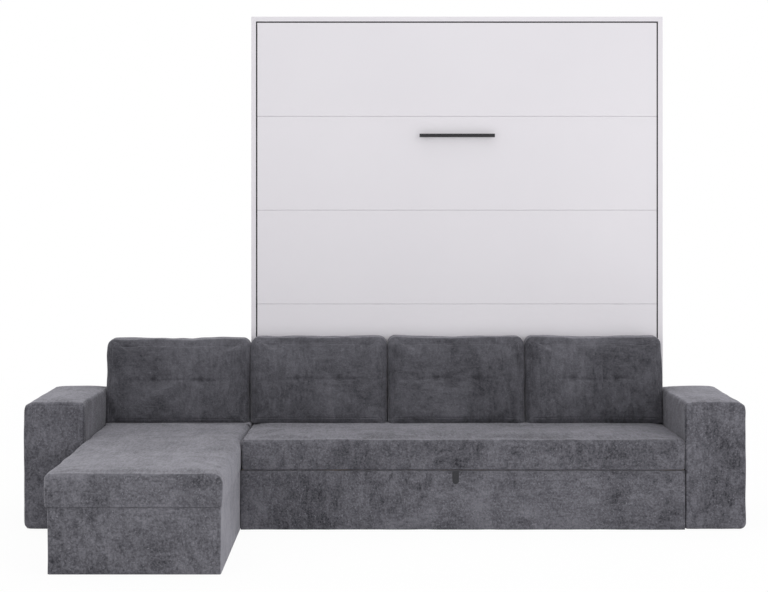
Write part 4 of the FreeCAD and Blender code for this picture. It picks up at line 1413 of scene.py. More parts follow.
@dataclass
class BackCushions(SubAssembly):
    """Four loose back cushions: flat backs, slanted crowned faces, two sewn tufts each.

    Args:
        head_share: Depth at the head as a share of the depth at the foot.
        top_round: Radius of the upper corners.
        foot_round: Radius of the lower corners.
        face_round: Rounding of the front edges.
        back_round: Rounding of the back edges.
        edge_seam: How far inside the outline the seam of the face runs.
        seam_depth: How deep it is.
        swell: Room in front for the filling.
        proud: How far the face and the top may still stand out.
        foot_cut: How much of the foot's rounding is pressed flat.
        tuft_shares: Places of the tufts across the width.
        tuft_drop: How far the tufts lie below the top.
        tuft_depth: How deep they are.
        sag: How far the top sinks between its two bumps.
        bump_share: How far the bumps lie from the middle, as a share of the width.
        over_arm: Shares of the height between which the side comes clear of the arm.
        arm_press: How far the filling swells towards the arm, where that presses it flat.
        neighbour_press: How far it swells towards the next cushion.
        rise: How far the seat's cushions stand above their room.
        sink: How far they sink into the seat.
        slack: Gap to the next piece.
        free_sides: Side of an outer cushion that has no neighbour, -1 or 1, and how far it
            swells out above the arm.
    """

    head_share: float = 0.634
    top_round: float = 0.034
    foot_round: float = 0.026
    face_round: float = 0.036
    back_round: float = 0.03
    edge_seam: float = 0.013
    seam_depth: float = 0.0019
    swell: float = 0.014
    proud: float = 0.004
    foot_cut: float = 0.022
    tuft_shares: Pair = (0.34, 0.655)
    tuft_drop: float = 0.176
    tuft_depth: float = 0.015
    sag: float = 0.004
    bump_share: float = 0.24
    over_arm: Pair = (0.42, 0.62)
    arm_press: float = 0.011
    neighbour_press: float = 0.006
    rise: float = 0.003
    sink: float = 0.0085
    slack: float = 0.0004
    free_sides: dict[str, tuple[int, float]] = field(
        default_factory=lambda: {"chaise": (-1, 0.0045), "right": (1, 0.0025)})

    def build(self) -> None:
        """Build one on the chaise and three along the seat."""
        for seed, name in enumerate(("chaise", "left", "middle", "right"), start=11):
            self.cushion(name, seed)

    def cushion(self, name: str, seed: int) -> None:
        """Build one cushion.

        Args:
            name: Where it stands.
            seed: Number that picks its unevenness.
        """
        node = "back_cushion_" + name
        low, high = (np.array(corner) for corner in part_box(node))
        free, swell = self.free_sides.get(name, (0, 0.0))

        def slant(points: Array) -> Array:
            """Draw the cushion in towards its head."""
            rise = np.clip((points[:, 2] - low[2]) / (high[2] - low[2]), 0, 1)
            depth = 1 - (1 - self.head_share) * rise
            points[:, 1] = high[1] - (high[1] - points[:, 1]) * depth
            return points

        def sew(points: Array, outward: Array) -> Array:
            """Pull in the tufts and shape the top and the sides."""
            front = smoothstep(-outward[:, 1], 0.25, 0.8)
            points[:, 1] += self.dents(points, low, high, seed) * front
            return self.settle(points, low, high, free, swell)

        room = [(swell if free == side else 0.0) - self.slack for side in (-1, 1)]
        rise, sink = (0.0, 0.0) if name == "chaise" else (self.rise, self.sink)
        foot = self.foot_cut + sink
        SoftBlock("back_padding_" + name, [node], "cushion_" + name, Axis.Y,
                  (self.foot_round, self.foot_round, self.top_round, self.top_round),
                  (self.face_round, self.back_round),
                  inset=((0.0, self.swell, -foot), (0.0, 0.0, -rise)),
                  padding=Padding(cap=0.02, sink=0.004, pressure=5.0, bending=0.9),
                  held=[(1, 1), (2, 0)], spacing=0.015, seed=seed, uneven=0.0024, fill=0.75,
                  rings=[Ring(1, 0, self.edge_seam, self.seam_depth, foot + self.proud)],
                  proud=((room[0], self.proud, sink), (room[1], 0.0, self.proud + rise)),
                  shape=slant, sewing=sew, finish=Cloth.CUSHION, detail=2).build(self.dresser)

    def dents(self, points: Array, low: Array, high: Array,
              seed: int) -> Array:
        """How deep the tufts and the crease between them lie.

        Args:
            points: Points of the stuffed cushion.
            low: Lowest corner of its room.
            high: Highest corner of its room.
            seed: Number that picks its small differences.

        Returns:
            The depth at each point.
        """
        width, level = high[0] - low[0], high[2] - self.tuft_drop
        core, dish, astray = 0.013, 0.048, 0.006
        pleats, pleat_depth, distance, pleat_width = 6, 0.0012, 0.034, 0.02
        depth, half, wave = 0.0036, 0.006, 0.003
        rng = np.random.default_rng(seed)
        pull = np.zeros(len(points))
        for share in self.tuft_shares:
            x = low[0] + width * share + rng.uniform(-astray, astray)
            beside, up = points[:, 0] - x, points[:, 2] - level
            away = np.hypot(beside, up)
            spoke = np.cos(np.arctan2(up, beside) * pleats + rng.uniform(0, pleats))
            pull += self.tuft_depth * bell(away, core)
            pull += 0.75 * self.tuft_depth * bell(away, dish)
            pull += pleat_depth * spoke * bell(away - distance, pleat_width)
        across = (points[:, 0] - (low[0] + high[0]) / 2) / width
        between = smoothstep(0.36 - np.abs(across), 0.0, 0.12)
        wander = wave * np.sin(across * 17 + seed)
        return pull + depth * bell(points[:, 2] - level + wander, half) * between

    def settle(self, points: Array, low: Array, high: Array, free: int,
               swell: float) -> Array:
        """Sag the top, press the sides against the arm and the neighbours.

        Args:
            points: Points of the cushion.
            low: Lowest corner of its room.
            high: Highest corner of its room.
            free: Side with no neighbour, -1 or 1, else 0.
            swell: How far that side swells out above the arm.

        Returns:
            Its new points.
        """
        across = (points[:, 0] - (low[0] + high[0]) / 2) / (high[0] - low[0])
        height = (points[:, 2] - low[2]) / (high[2] - low[2])
        middle = np.cos(np.clip(across / self.bump_share, -1, 1) * math.pi / 2) ** 2
        points[:, 2] -= smoothstep(height, 0.6, 1.0) * self.sag * middle
        begin, full, still, cease = 0.4, 0.6, 0.88, 0.97
        touching = smoothstep(height, begin, full) * (1 - smoothstep(height, still, cease))
        touching *= smoothstep(np.abs(across), 0.42, 0.5) * (np.sign(across) != free)
        points[:, 0] += np.sign(across) * touching * self.neighbour_press
        if free:
            side = free * smoothstep(across * free, 0.2, 0.5)
            above_arm = smoothstep(height, *self.over_arm)
            points[:, 0] += side * self.arm_press * (1 - above_arm)
            points[:, 0] = np.clip(points[:, 0], low[0] + self.slack, high[0] - self.slack)
            points[:, 0] += side * swell * above_arm
        return points


@dataclass
class Seat(SubAssembly):
    """Long seat cushion, padded drawer front and its pull tab.

    Args:
        seat_round: Radius of the seat's long edges: back low, front low, front high, back high.
        seat_ends: Rounding of its two ends.
        seat_swell: Room above for the filling.
        fold: X and Z of the points of the soft fold in its front.
        press: How far the back cushions press its top down.
        drawer_round: Radius of the drawer front's edges.
        drawer_drop: How far the drawer front's fabric hangs below its board.
        drawer_wide: How far it reaches towards the chaise.
        drawer_rise: How far it stands above, towards the seat.
        tab_thickness: Thickness of the pull tab's webbing.
    """

    seat_round: Four = (0.01, 0.006, 0.012, 0.022)
    seat_ends: float = 0.01
    seat_swell: float = 0.006
    fold: tuple[Pair, ...] = ((-0.54, 0.24), (-0.42, 0.262), (-0.22, 0.258))
    press: float = 0.009
    drawer_round: float = 0.0025
    drawer_drop: float = 0.0036
    drawer_wide: float = 0.0038
    drawer_rise: float = 0.0012
    tab_thickness: float = 0.0024

    def build(self) -> None:
        """Build the three pieces."""
        self.cushion()
        self.drawer_front()
        self.pull_tab()

    def cushion(self) -> None:
        """One long cushion, pressed down a little under the back cushions."""
        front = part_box("seat_cushion")[0].y
        start, full = front + 0.06, 0.34
        fold = [(x, front, z) for x, z in self.fold]
        creases = [Crease(fold[0], fold[1]), Crease(fold[1], fold[2], depth=0.0015)]

        def press(points: Array, outward: Array) -> Array:
            """Press the top down towards the back cushions."""
            top = smoothstep(points[:, 2], 0.3, 0.345)
            points[:, 2] -= self.press * top * smoothstep(points[:, 1], start, full)
            return points

        SoftBlock("seat_cushion_cover", ["seat_cushion"], "root", Axis.X, self.seat_round,
                  (self.seat_ends, self.seat_ends),
                  inset=((0.0005, 0.001, 0.0), (0.0, 0.0, self.seat_swell)),
                  padding=Padding(cap=0.0085, sink=0.001), held=[(2, 0), (1, 1)], spacing=0.017,
                  seed=21, creases=creases, sewing=press,
                  proud=((0, 0.005, 0), (0.003, 0, 0))).build(self.dresser)

    def drawer_front(self) -> None:
        """Thin padding round the drawer's front board."""
        r, wide, drop, rise = self.drawer_round, self.drawer_wide, self.drawer_drop, self.drawer_rise
        SoftBlock("drawer_front_padding", ["drawer_front_cover"], "drawer", Axis.Y, (r, r, r, r),
                  (r, 0.002), inset=((-wide, 0.0015, -drop), (0.0, 0.0, -rise)),
                  padding=Padding(cap=0.003, sink=0.0),
                  held=[(1, 1), (0, 0), (0, 1), (2, 0), (2, 1)], spacing=0.018, seed=31,
                  uneven=0.0009, fill=1.0,
                  proud=((wide, 0.001, drop), (0, 0, rise))).build(self.dresser)

    def pull_tab(self) -> None:
        """Webbing tab that hangs from the seam above the drawer front, its end rounded."""
        low, high = (Vector(corner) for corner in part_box("pull_strap"))
        half = self.tab_thickness / 2
        y = low.y + half
        radius = (high.x - low.x) / 2
        top, bottom = high.z - self.tab_thickness, low.z + radius
        steps, rounds = 5, 14
        heights = [top + (bottom - top) * k / steps for k in range(steps)]
        outline = [Vector((high.x, y, z)) for z in heights]
        outline += [Vector((low.x + radius + radius * math.cos(math.pi * k / rounds), y,
                            bottom - radius * math.sin(math.pi * k / rounds)))
                    for k in range(rounds + 1)]
        outline += [Vector((low.x, y, z)) for z in reversed(heights)]
        middle = Vector((low.x + radius, y, (low.z + high.z) / 2))
        loops = ((0.0, 0.0), (0.25, 0.6), (0.7, 1.0), (1.4, 0.72), (1.9, 1.0), (3.6, 0.85))
        points = []
        for inset, lift in loops:
            for place in outline:
                inward = middle - place
                if place.z > bottom:
                    inward.z *= 0.15
                points.append(place + inward.normalized() * (inset * self.tab_thickness) -
                              Vector((0, half * lift, 0)))
        points += [place + Vector((0, half, 0)) for place in outline]
        count, last = len(outline), len(loops)
        faces = ring_quads(in_order(last) + [(0, last)], count)
        faces += [tuple(range(ring * count, (ring + 1) * count)) for ring in (last - 1, last)]
        piece = make_object("pull_tab", points, faces)
        fix_normals(piece)
        self.dresser.dress(piece, Slot.WEBBING, "drawer", ["pull_strap"])


@dataclass
class Arms(SubAssembly):
    """Two upholstered arms, higher in the middle of their tops.

    Args:
        outer_round: Radius of the outer top edge.
        inner_round: Radius of the inner top edge.
        foot_round: Radius of the outer lower edge.
        sill_round: Radius of the inner lower edge.
        front_round: Rounding of the front panel's edges.
        back_round: Rounding of the back edges.
        front_seam: How far inside its outline the front panel is sewn.
        seam_depths: How deep that seam is on the left and on the right arm.
        top_room: Room above for the filling.
        crown: How far the middle of the top stands up at the back.
        front_lift: How far it stands up towards the front.
        back_drop: How far it falls towards the back.
        square_up: How much of the outer top edge's rounding is gone at the back.
        front_square: How much of its width is gone at the front.
        hang: How far the fabric hangs below the frame, towards the floor.
        right_swell: How much further out the right arm's outer side lies.
    """

    outer_round: float = 0.036
    inner_round: float = 0.015
    foot_round: float = 0.024
    sill_round: float = 0.008
    front_round: float = 0.011
    back_round: float = 0.008
    front_seam: float = 0.0105
    seam_depths: Pair = (0.0018, 0.0006)
    top_room: float = 0.003
    crown: float = 0.005
    front_lift: float = 0.009
    back_drop: float = 0.0065
    square_up: float = 0.85
    front_square: float = 0.4
    hang: float = 0.0025
    right_swell: float = 0.0038

    def build(self) -> None:
        """Build the left and the right arm."""
        self.arm("left", -1)
        self.arm("right", 1)

    def arm(self, side: str, sign: int) -> None:
        """Build one arm.

        Args:
            side: Its side.
            sign: -1 for the left, 1 for the right.
        """
        node = "arm_cover_" + side
        low, high = (np.array(corner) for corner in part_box(node))
        swell = self.right_swell if sign > 0 else 0.0
        high[0] += swell
        middle, half = (low[0] + high[0]) / 2, (high[0] - low[0]) / 2

        def raise_top(points: Array) -> Array:
            """Raise the front and the middle of the top, lower and square up its back.

            Args:
                points: The arm's points.

            Returns:
                The points in their new places.
            """
            share = 1 - ((points[:, 0] - middle) / half) ** 2
            upper = smoothstep(points[:, 2], (low[2] + high[2]) / 2, high[2])
            along = np.clip((points[:, 1] - low[1]) / (high[1] - low[1]), 0, 1)
            back = smoothstep(along, 0.1, 1.0)
            round_in = np.maximum((points[:, 0] - middle) * sign - half + self.outer_round, 0)
            round_up = np.maximum(points[:, 2] - (high[2] - self.top_room) + self.outer_round, 0)
            reach = np.maximum(np.hypot(round_in, round_up), 1e-9)
            wider = reach / np.maximum(np.maximum(round_in, round_up), 1e-9) - 1
            wider *= (round_in > 0) * (round_up > 0)
            outward = self.square_up * back + self.front_square * (1 - back)
            points[:, 0] += sign * round_in * wider * outward
            points[:, 2] += round_up * wider * self.square_up * back
            lift = self.front_lift * (0.6 + 0.4 * share) * (1 - back)
            lift += (self.crown * share - self.back_drop) * back
            points[:, 2] += upper * lift
            return points

        lower, upper = (self.sill_round, self.foot_round), (self.outer_round, self.inner_round)
        radii = lower + upper if sign > 0 else lower[::-1] + upper[::-1]
        SoftBlock("arm_padding_" + side, [node], "root", Axis.Y, radii,
                  (self.front_round, self.back_round),
                  inset=((0.0, 0.001, -self.hang), (-swell, 0.0, self.top_room)),
                  padding=Padding(cap=0.005, sink=0.0005), held=[(2, 0), (1, 1)], spacing=0.018,
                  seed=41 + sign, uneven=0.0013,
                  rings=[Ring(1, 0, self.front_seam, self.seam_depths[int(sign > 0)])],
                  shape=raise_top, finish=Cloth.ARM,
                  proud=((0.0015, 0.002, self.hang), (0.0015 + swell, 0, 0.01)),
                  ).build(self.dresser)


@dataclass
class Chaise(SubAssembly):
    """Storage chaise: lid cushion, fixed rear strip, upright backrest and stretched cover.

    Args:
        lid_round: Radius of the lid's edges: low left, low right, top right, top left.
        lid_ends: Rounding of its front and back edges.
        lid_seam: How far inside its outline the front panel is sewn.
        lid_swell: Room above for the filling.
        foot_cut: How much of the lid's lower rounding is pressed flat.
        board_gap: Gap to the lid's board.
        side_bulge: How far its free sides bulge.
        corner_lift: How far its right corner at the hinge is filled up.
        foot_seam: Height, half width and depth of the seam above its underside.
        skin: Thickness of the stretched cover.
        skin_round: Radius of the cover's upright edges.
        skin_drop: How far the cover hangs below the box, towards the floor.
        skin_wide: How much thicker its left and its right side are.
        skin_fold: X and Z of the ends of the soft fold in its front.
    """

    lid_round: Four = (0.012, 0.014, 0.036, 0.018)
    lid_ends: Pair = (0.013, 0.003)
    lid_seam: float = 0.012
    lid_swell: float = 0.0055
    foot_cut: float = 0.0055
    board_gap: float = 0.0012
    side_bulge: float = 0.003
    corner_lift: float = 0.008
    foot_seam: Triple = (0.011, 0.003, 0.0014)
    skin: float = 0.0058
    skin_round: float = 0.007
    skin_drop: float = 0.0046
    skin_wide: Pair = (0.005, 0.0015)
    skin_fold: tuple[Pair, ...] = ((-1.02, 0.163), (-0.918, 0.191))

    def build(self) -> None:
        """Build the four pieces."""
        self.lid()
        self.rear()
        self.backrest()
        self.cover()

    def lid(self) -> None:
        """Thick cushion in front of the hinge, round the lid board."""
        low, high = (np.array(corner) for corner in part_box("chaise_lid_cushion"))
        board_low, board_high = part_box("chaise_lid_board")
        arm_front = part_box("arm_cover_left")[0].y
        fading, gone = arm_front - 0.12, arm_front - 0.02
        seam_height, seam_width, seam_depth = self.foot_seam

        def seat_on_board(points: Array, outward: Array) -> Array:
            """Bulge where the sides are free, leave the board bare, press a seam above the foot.

            Args:
                points: The lid cushion's points.
                outward: Their outward directions.

            Returns:
                The points in their new places.
            """
            free = 1 - smoothstep(points[:, 1], fading, gone)
            height = np.clip((points[:, 2] - low[2]) / (high[2] - low[2]), 0, 1)
            bulge = self.side_bulge * free * np.sin(np.pi * (0.15 + 0.7 * height))
            sideways = outward[:, 0]
            points[:, 0] += np.sign(sideways) * smoothstep(np.abs(sideways), 0.3, 0.9) * bulge
            corner = smoothstep(points[:, 0], high[0] - 0.04, high[0] - 0.01) * (height > 0.5)
            corner *= smoothstep(points[:, 1], high[1] - 0.12, high[1])
            points[:, 2] += self.corner_lift * corner
            held = points[:, 1] > gone
            points[:, 0] = np.where(held, np.clip(points[:, 0], low[0], high[0]), points[:, 0])
            over = ((points[:, 0] > board_low.x) & (points[:, 0] < board_high.x) &
                    (points[:, 1] > board_low.y) & (points[:, 1] < board_high.y))
            under = over & (points[:, 2] < low[2] + 0.003)
            points[under, 2] = low[2] + self.board_gap
            side = smoothstep(np.hypot(outward[:, 0], outward[:, 1]), 0.4, 0.9)
            fall = seam_depth * bell(points[:, 2] - low[2] - seam_height, seam_width)
            return points - outward * (fall * side)[:, None]

        SoftBlock("chaise_lid_padding", ["chaise_lid_cushion"], "chaise_lid", Axis.Y,
                  self.lid_round, self.lid_ends,
                  inset=((0.0005, 0.001, -self.foot_cut), (0.0005, 0.0006, self.lid_swell)),
                  padding=Padding(cap=0.007, sink=0.0008), held=[(2, 0), (1, 1)], spacing=0.017,
                  seed=51, uneven=0.0015, rings=[Ring(1, 0, self.lid_seam, 0.0016)],
                  sewing=seat_on_board, proud=((0.004, 0.001, 0), (0.004, -0.0004, 0)),
                  finish=Cloth.CHAISE).build(self.dresser)

    def rear(self) -> None:
        """Fixed strip of cushion behind the hinge."""
        SoftBlock("chaise_rear_padding", ["chaise_rear_cushion"], "root", Axis.X,
                  radii=(0.004, 0.004, 0.009, 0.004), ends=(0.008, 0.008),
                  inset=((0.0, 0.0006, 0.0), (0.0, 0.0, 0.001)),
                  padding=Padding(cap=0.003, sink=0.0005), held=[(2, 0), (1, 1), (1, 0)],
                  spacing=0.02, seed=61, uneven=0.0008, finish=Cloth.CHAISE).build(self.dresser)

    def backrest(self) -> None:
        """Upright beside the cabinet."""
        SoftBlock("backrest_padding", ["chaise_backrest"], "root", Axis.X,
                  radii=(0.006, 0.006, 0.02, 0.02), ends=(0.014, 0.014),
                  inset=((0.001, 0.001, 0.0), (0.001, 0.002, 0.004)),
                  padding=Padding(cap=0.005, sink=0.0005), held=[(2, 0), (1, 0)], spacing=0.02,
                  seed=71).build(self.dresser)

    def cover(self) -> None:
        """Padded fabric that is stretched round three sides of the storage box."""
        low, high = (Vector(corner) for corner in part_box("chaise_cover"))
        low.z -= self.skin_drop
        section = self.skin_section(low.z, high.z)
        corners = [Vector((x, y, 0)) for x, y in
                   ((low.x, high.y), (low.x, low.y), (high.x, low.y), (high.x, high.y))]
        path = rounded_path(corners, self.skin_round, 5, 0.014)
        points = []
        for place, along in along_path(path):
            inward = Vector((-along.y, along.x, 0))
            wide = -inward.x * self.skin_wide[int(inward.x < 0)]
            points += [place + inward * a + Vector((wide * (1 - a / self.skin), 0, b))
                       for a, b in section]
        count = len(section)
        faces = ring_quads([(b, a) for a, b in in_order(len(path))], count)
        faces += [tuple(range(count)), tuple(reversed(range(len(points) - count, len(points))))]
        piece = make_object("chaise_skin", points, faces)
        cloth, outward = get_points(piece), normals_of(piece)
        wave = undulation(cloth, 0.19, 81) * 0.0008 + undulation(cloth, 0.06, 82) * 0.0003
        outer = np.hypot(outward[:, 0], outward[:, 1]) > 0.7
        start, end = ((x, low.y, z) for x, z in self.skin_fold)
        fold = Crease(start, end, width=0.006, depth=0.004)
        pull = (0.001 - wave + fold.pull(cloth)) * outer
        low.x -= self.skin_wide[0]
        high.x += self.skin_wide[1]
        seam_place, seam_width = high.x - 0.009, 0.003
        seam = bell(cloth[:, 0] - seam_place, seam_width) * (outward[:, 1] < -0.7)
        cloth -= outward * (pull + 0.001 * seam)[:, None]
        set_points(piece, np.clip(cloth, np.array(low), np.array(high)))
        self.dresser.dress(piece, Slot.UPHOLSTERY, "root", ["chaise_cover"], 1.0, Cloth.CHAISE)

    def skin_section(self, bottom: float, top: float) -> list[Pair]:
        """Section of the cover, with rolled hems.

        Args:
            bottom: Height of its lower hem.
            top: Height of its upper hem.

        Returns:
            Depth inwards and height of each point.
        """
        roll = self.skin / 2
        levels = np.linspace(bottom + roll, top - roll, 18)
        hem = ((roll * 0.3, roll * 0.3), (roll, 0.0), (self.skin - roll * 0.3, roll * 0.3))
        outer = [(0.0, float(z)) for z in levels]
        inner = [(self.skin, float(z)) for z in levels[::-1]]
        return (outer + [(a, top - b) for a, b in hem] + inner +
                [(a, bottom + b) for a, b in reversed(hem)])


@dataclass(frozen=True)
class Head:
    """Head of a screw or a cam, with a cross recess.

    Args:
        radius: Its radius.
        height: How far it stands out.
        recess: Depth of the cross.
    """

    radius: float
    height: float
    recess: float

    def mesh(self, place: Vector, facing: Vector) -> tuple[list[Vector], list[Face]]:
        """Points and faces of one head.

        Args:
            place: Middle of its foot.
            facing: Direction that it looks in.

        Returns:
            The points and the faces.
        """
        across = facing.orthogonal().normalized()
        up = facing.cross(across)
        turns, reach, width = 24, 0.65, 0.13
        loops = ((1.0, 0.0), (1.0, 0.45), (0.9, 0.85), (0.66, 1.0), (0.6, 1.0), (0.42, 1.0),
                 (0.26, 1.0))
        points = []
        for share, rise in loops:
            for k in range(turns):
                angle = 2 * math.pi * k / turns
                from_arm = abs((angle + math.pi / 4) % (math.pi / 2) - math.pi / 4)
                sunk = share < reach and from_arm * share < width
                level = self.height * rise - (self.recess if sunk else 0.0)
                points.append(place + facing * level + self.radius * share *
                              (across * math.cos(angle) + up * math.sin(angle)))
        faces = ring_quads(in_order(len(loops)), turns)
        last = len(points) - turns
        points.append(place + facing * (self.height - self.recess))
        faces += [(last + k, last + (k + 1) % turns, len(points) - 1) for k in range(turns)]
        faces.append(tuple(reversed(range(turns))))
        return points, faces


@dataclass
class Fixings(SubAssembly):
    """Screws and cams that hold the plates, the brackets, the rails and the lid board.

    Args:
        screw: Head of a screw.
        cam: Head of a cam.
        edge: Distance of a screw from its plate's edge.
        front_edge: The same at the front of the mechanism plates.
        inner_screw: Distance of these plates' inner screws from their ends.
        plate: Thickness of the steel plates.
        cam_inset: Distance of the cams from their rail's ends and from its edges.
        lid_inset: Distance of the lid's screws from its board's edges.
    """

    screw: Head = Head(0.0046, 0.0011, 0.0007)
    cam: Head = Head(0.0075, 0.0009, 0.0007)
    edge: float = 0.011
    front_edge: float = 0.016
    inner_screw: float = 0.075
    plate: float = 0.003
    cam_inset: Pair = (0.034, 0.032)
    lid_inset: float = 0.12

    def build(self) -> None:
        """Build the heads, one piece for each group of them."""
        left, right = Vector((1, 0, 0)), Vector((-1, 0, 0))
        low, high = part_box("mechanism_plates")
        heights = (low.z + self.edge, low.z + self.inner_screw, high.z - self.inner_screw,
                   high.z - self.edge)
        places = [(Vector((x, y, z)), facing) for z in heights
                  for y in (low.y + self.front_edge, high.y - self.edge)
                  for x, facing in ((low.x + self.plate, left), (high.x - self.plate, right))]
        self.group("mechanism_screws", "root", self.screw, places)
        low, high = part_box("leg_pivot_brackets")
        rail_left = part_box("bed_side_rail_left")[0].x - self.plate
        rail_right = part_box("bed_side_rail_right")[1].x + self.plate
        places = [(Vector((x, y, z)), facing) for z in (low.z + self.edge, high.z - self.edge)
                  for y in (low.y + self.edge, high.y - self.edge)
                  for x, facing in ((rail_left, right), (rail_right, left))]
        self.group("bracket_screws", "bed", self.screw, places)
        places = []
        along, up = self.cam_inset
        for rail in ("cabinet_rear_rail_top", "cabinet_rear_rail_bottom"):
            low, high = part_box(rail)
            places += [(Vector((x, low.y, z)), Vector((0, -1, 0)))
                       for x in (low.x + along, high.x - along)
                       for z in (low.z + up, high.z - up)]
        self.group("rail_cams", "root", self.cam, places)
        low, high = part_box("chaise_lid_board")
        inset = self.lid_inset
        places = [(Vector((x, y, low.z)), Vector((0, 0, -1)))
                  for x in (low.x + inset, high.x - inset)
                  for y in (low.y + inset, (low.y + high.y) / 2, high.y - inset)]
        self.group("lid_screws", "chaise_lid", self.screw, places)

    def group(self, name: str, body: str, head: Head,
              places: Sequence[tuple[Vector, Vector]]) -> None:
        """Build one group of equal heads.

        Args:
            name: Name of the piece.
            body: Body that it rides on.
            head: The kind of head.
            places: Middle of each foot and the direction that it looks in.
        """
        points: list[Vector] = []
        faces: list[Face] = []
        for place, facing in places:
            own_points, own_faces = head.mesh(place, facing)
            faces += [tuple(len(points) + k for k in face) for face in own_faces]
            points += own_points
        piece = make_object(name, points, faces)
        fix_normals(piece)
        piece.data.shade_flat()
        self.dresser.dress(piece, Slot.STEEL, body)


@dataclass
class RevealShadeSeals(SubAssembly):
    """Near-black pile seals inside the reveal round the folding front, with a lip at the front; their
    darkness is painted shade for the reveal.

    Args:
        thickness: How far they stand into the reveal.
        setback: How far they lie behind the cabinet's front edges.
        width: Their width.
        foot: Height at which the upright ones end, above the mechanism plates.
        lip: How far the lip covers the cabinet's edge, how far it reaches into the reveal,
            and its thickness.
        slack: Gap between pieces that meet at a corner.
    """

    thickness: float = 0.0032
    setback: float = 0.001
    width: float = 0.036
    foot: float = 0.69
    lip: Triple = (0.0012, 0.0037, 0.0005)
    slack: float = 0.0002

    def build(self) -> None:
        """Build two upright seals and one under the top board, each with its lip."""
        left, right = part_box("cabinet_side_left")[1].x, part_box("cabinet_side_right")[0].x
        top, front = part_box("cabinet_top")[0].z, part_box("cabinet_side_left")[0].y
        flat, end = self.thickness / 2, top - 2 * self.slack
        beside = self.thickness + self.slack
        y = front + self.setback + self.width / 2
        size, depthwise = (self.width, self.thickness), Vector((0, 1, 0))
        self.band("dust_seal_left", y, (left + flat, self.foot, left + flat, end), depthwise, size)
        self.band("dust_seal_right", y, (right - flat, self.foot, right - flat, end), depthwise,
                  size)
        self.band("dust_seal_top", y, (left + beside, top - flat, right - beside, top - flat),
                  depthwise, size)
        over, into, thick = self.lip
        off, end = (into - over) / 2, top - into - self.slack
        y = front - thick / 2 - self.slack / 2
        size, sideways = (over + into, thick), Vector((1, 0, 0))
        self.band("seal_lip_left", y, (left + off, self.foot, left + off, end), sideways, size)
        self.band("seal_lip_right", y, (right - off, self.foot, right - off, end), sideways, size)
        self.band("seal_lip_top", y, (left - over, top - off, right + over, top - off),
                  Vector((0, 0, 1)), size)

    def band(self, name: str, y: float, ends: Four, across: Vector,
             size: Pair) -> None:
        """Build one straight band.

        Args:
            name: Its name.
            y: Its place along Y.
            ends: X and Z of its start, X and Z of its end.
            across: Direction of its width.
            size: Width and thickness.
        """
        first, last = Vector((ends[0], y, ends[1])), Vector((ends[2], y, ends[3]))
        piece = straight_band(name, first, last, across, *size)
        self.dresser.dress(piece, Slot.WEBBING, "root", cloth=Cloth.SEAL)


@dataclass
class GrooveTongues(SubAssembly):
    """Pale tongues that join the front boards at the bottom of the fine grooves.

    Args:
        depth: Depth of the grooves.
        slack: Gap to the board above and to the one below.
        end: How far they stop short of the boards' ends.
        steps: Number of their lengths.
    """

    depth: float = 0.0022
    slack: float = 0.0001
    end: float = 0.0006
    steps: int = 12

    def build(self) -> None:
        """Build one in each of the four grooves."""
        boards = sorted((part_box("front_board_%d" % index) for index in range(1, 6)),
                        key=lambda box: box[0].z)
        for index, (below, above) in enumerate(zip(boards, boards[1:]), start=1):
            thickness = above[0].z - below[1].z - 2 * self.slack
            front, back = below[0].y + self.depth, below[1].y - self.slack
            y, z = (front + back) / 2, (above[0].z + below[1].z) / 2
            first, last = (Vector((x, y, z)) for x in (below[0].x + self.end,
                                                       below[1].x - self.end))
            piece = straight_band("groove_tongue_%d" % index, first, last, Vector((0, 1, 0)),
                                  back - front, thickness, self.steps)
            self.dresser.dress(piece, Slot.WHITE_BOARD, "bed")


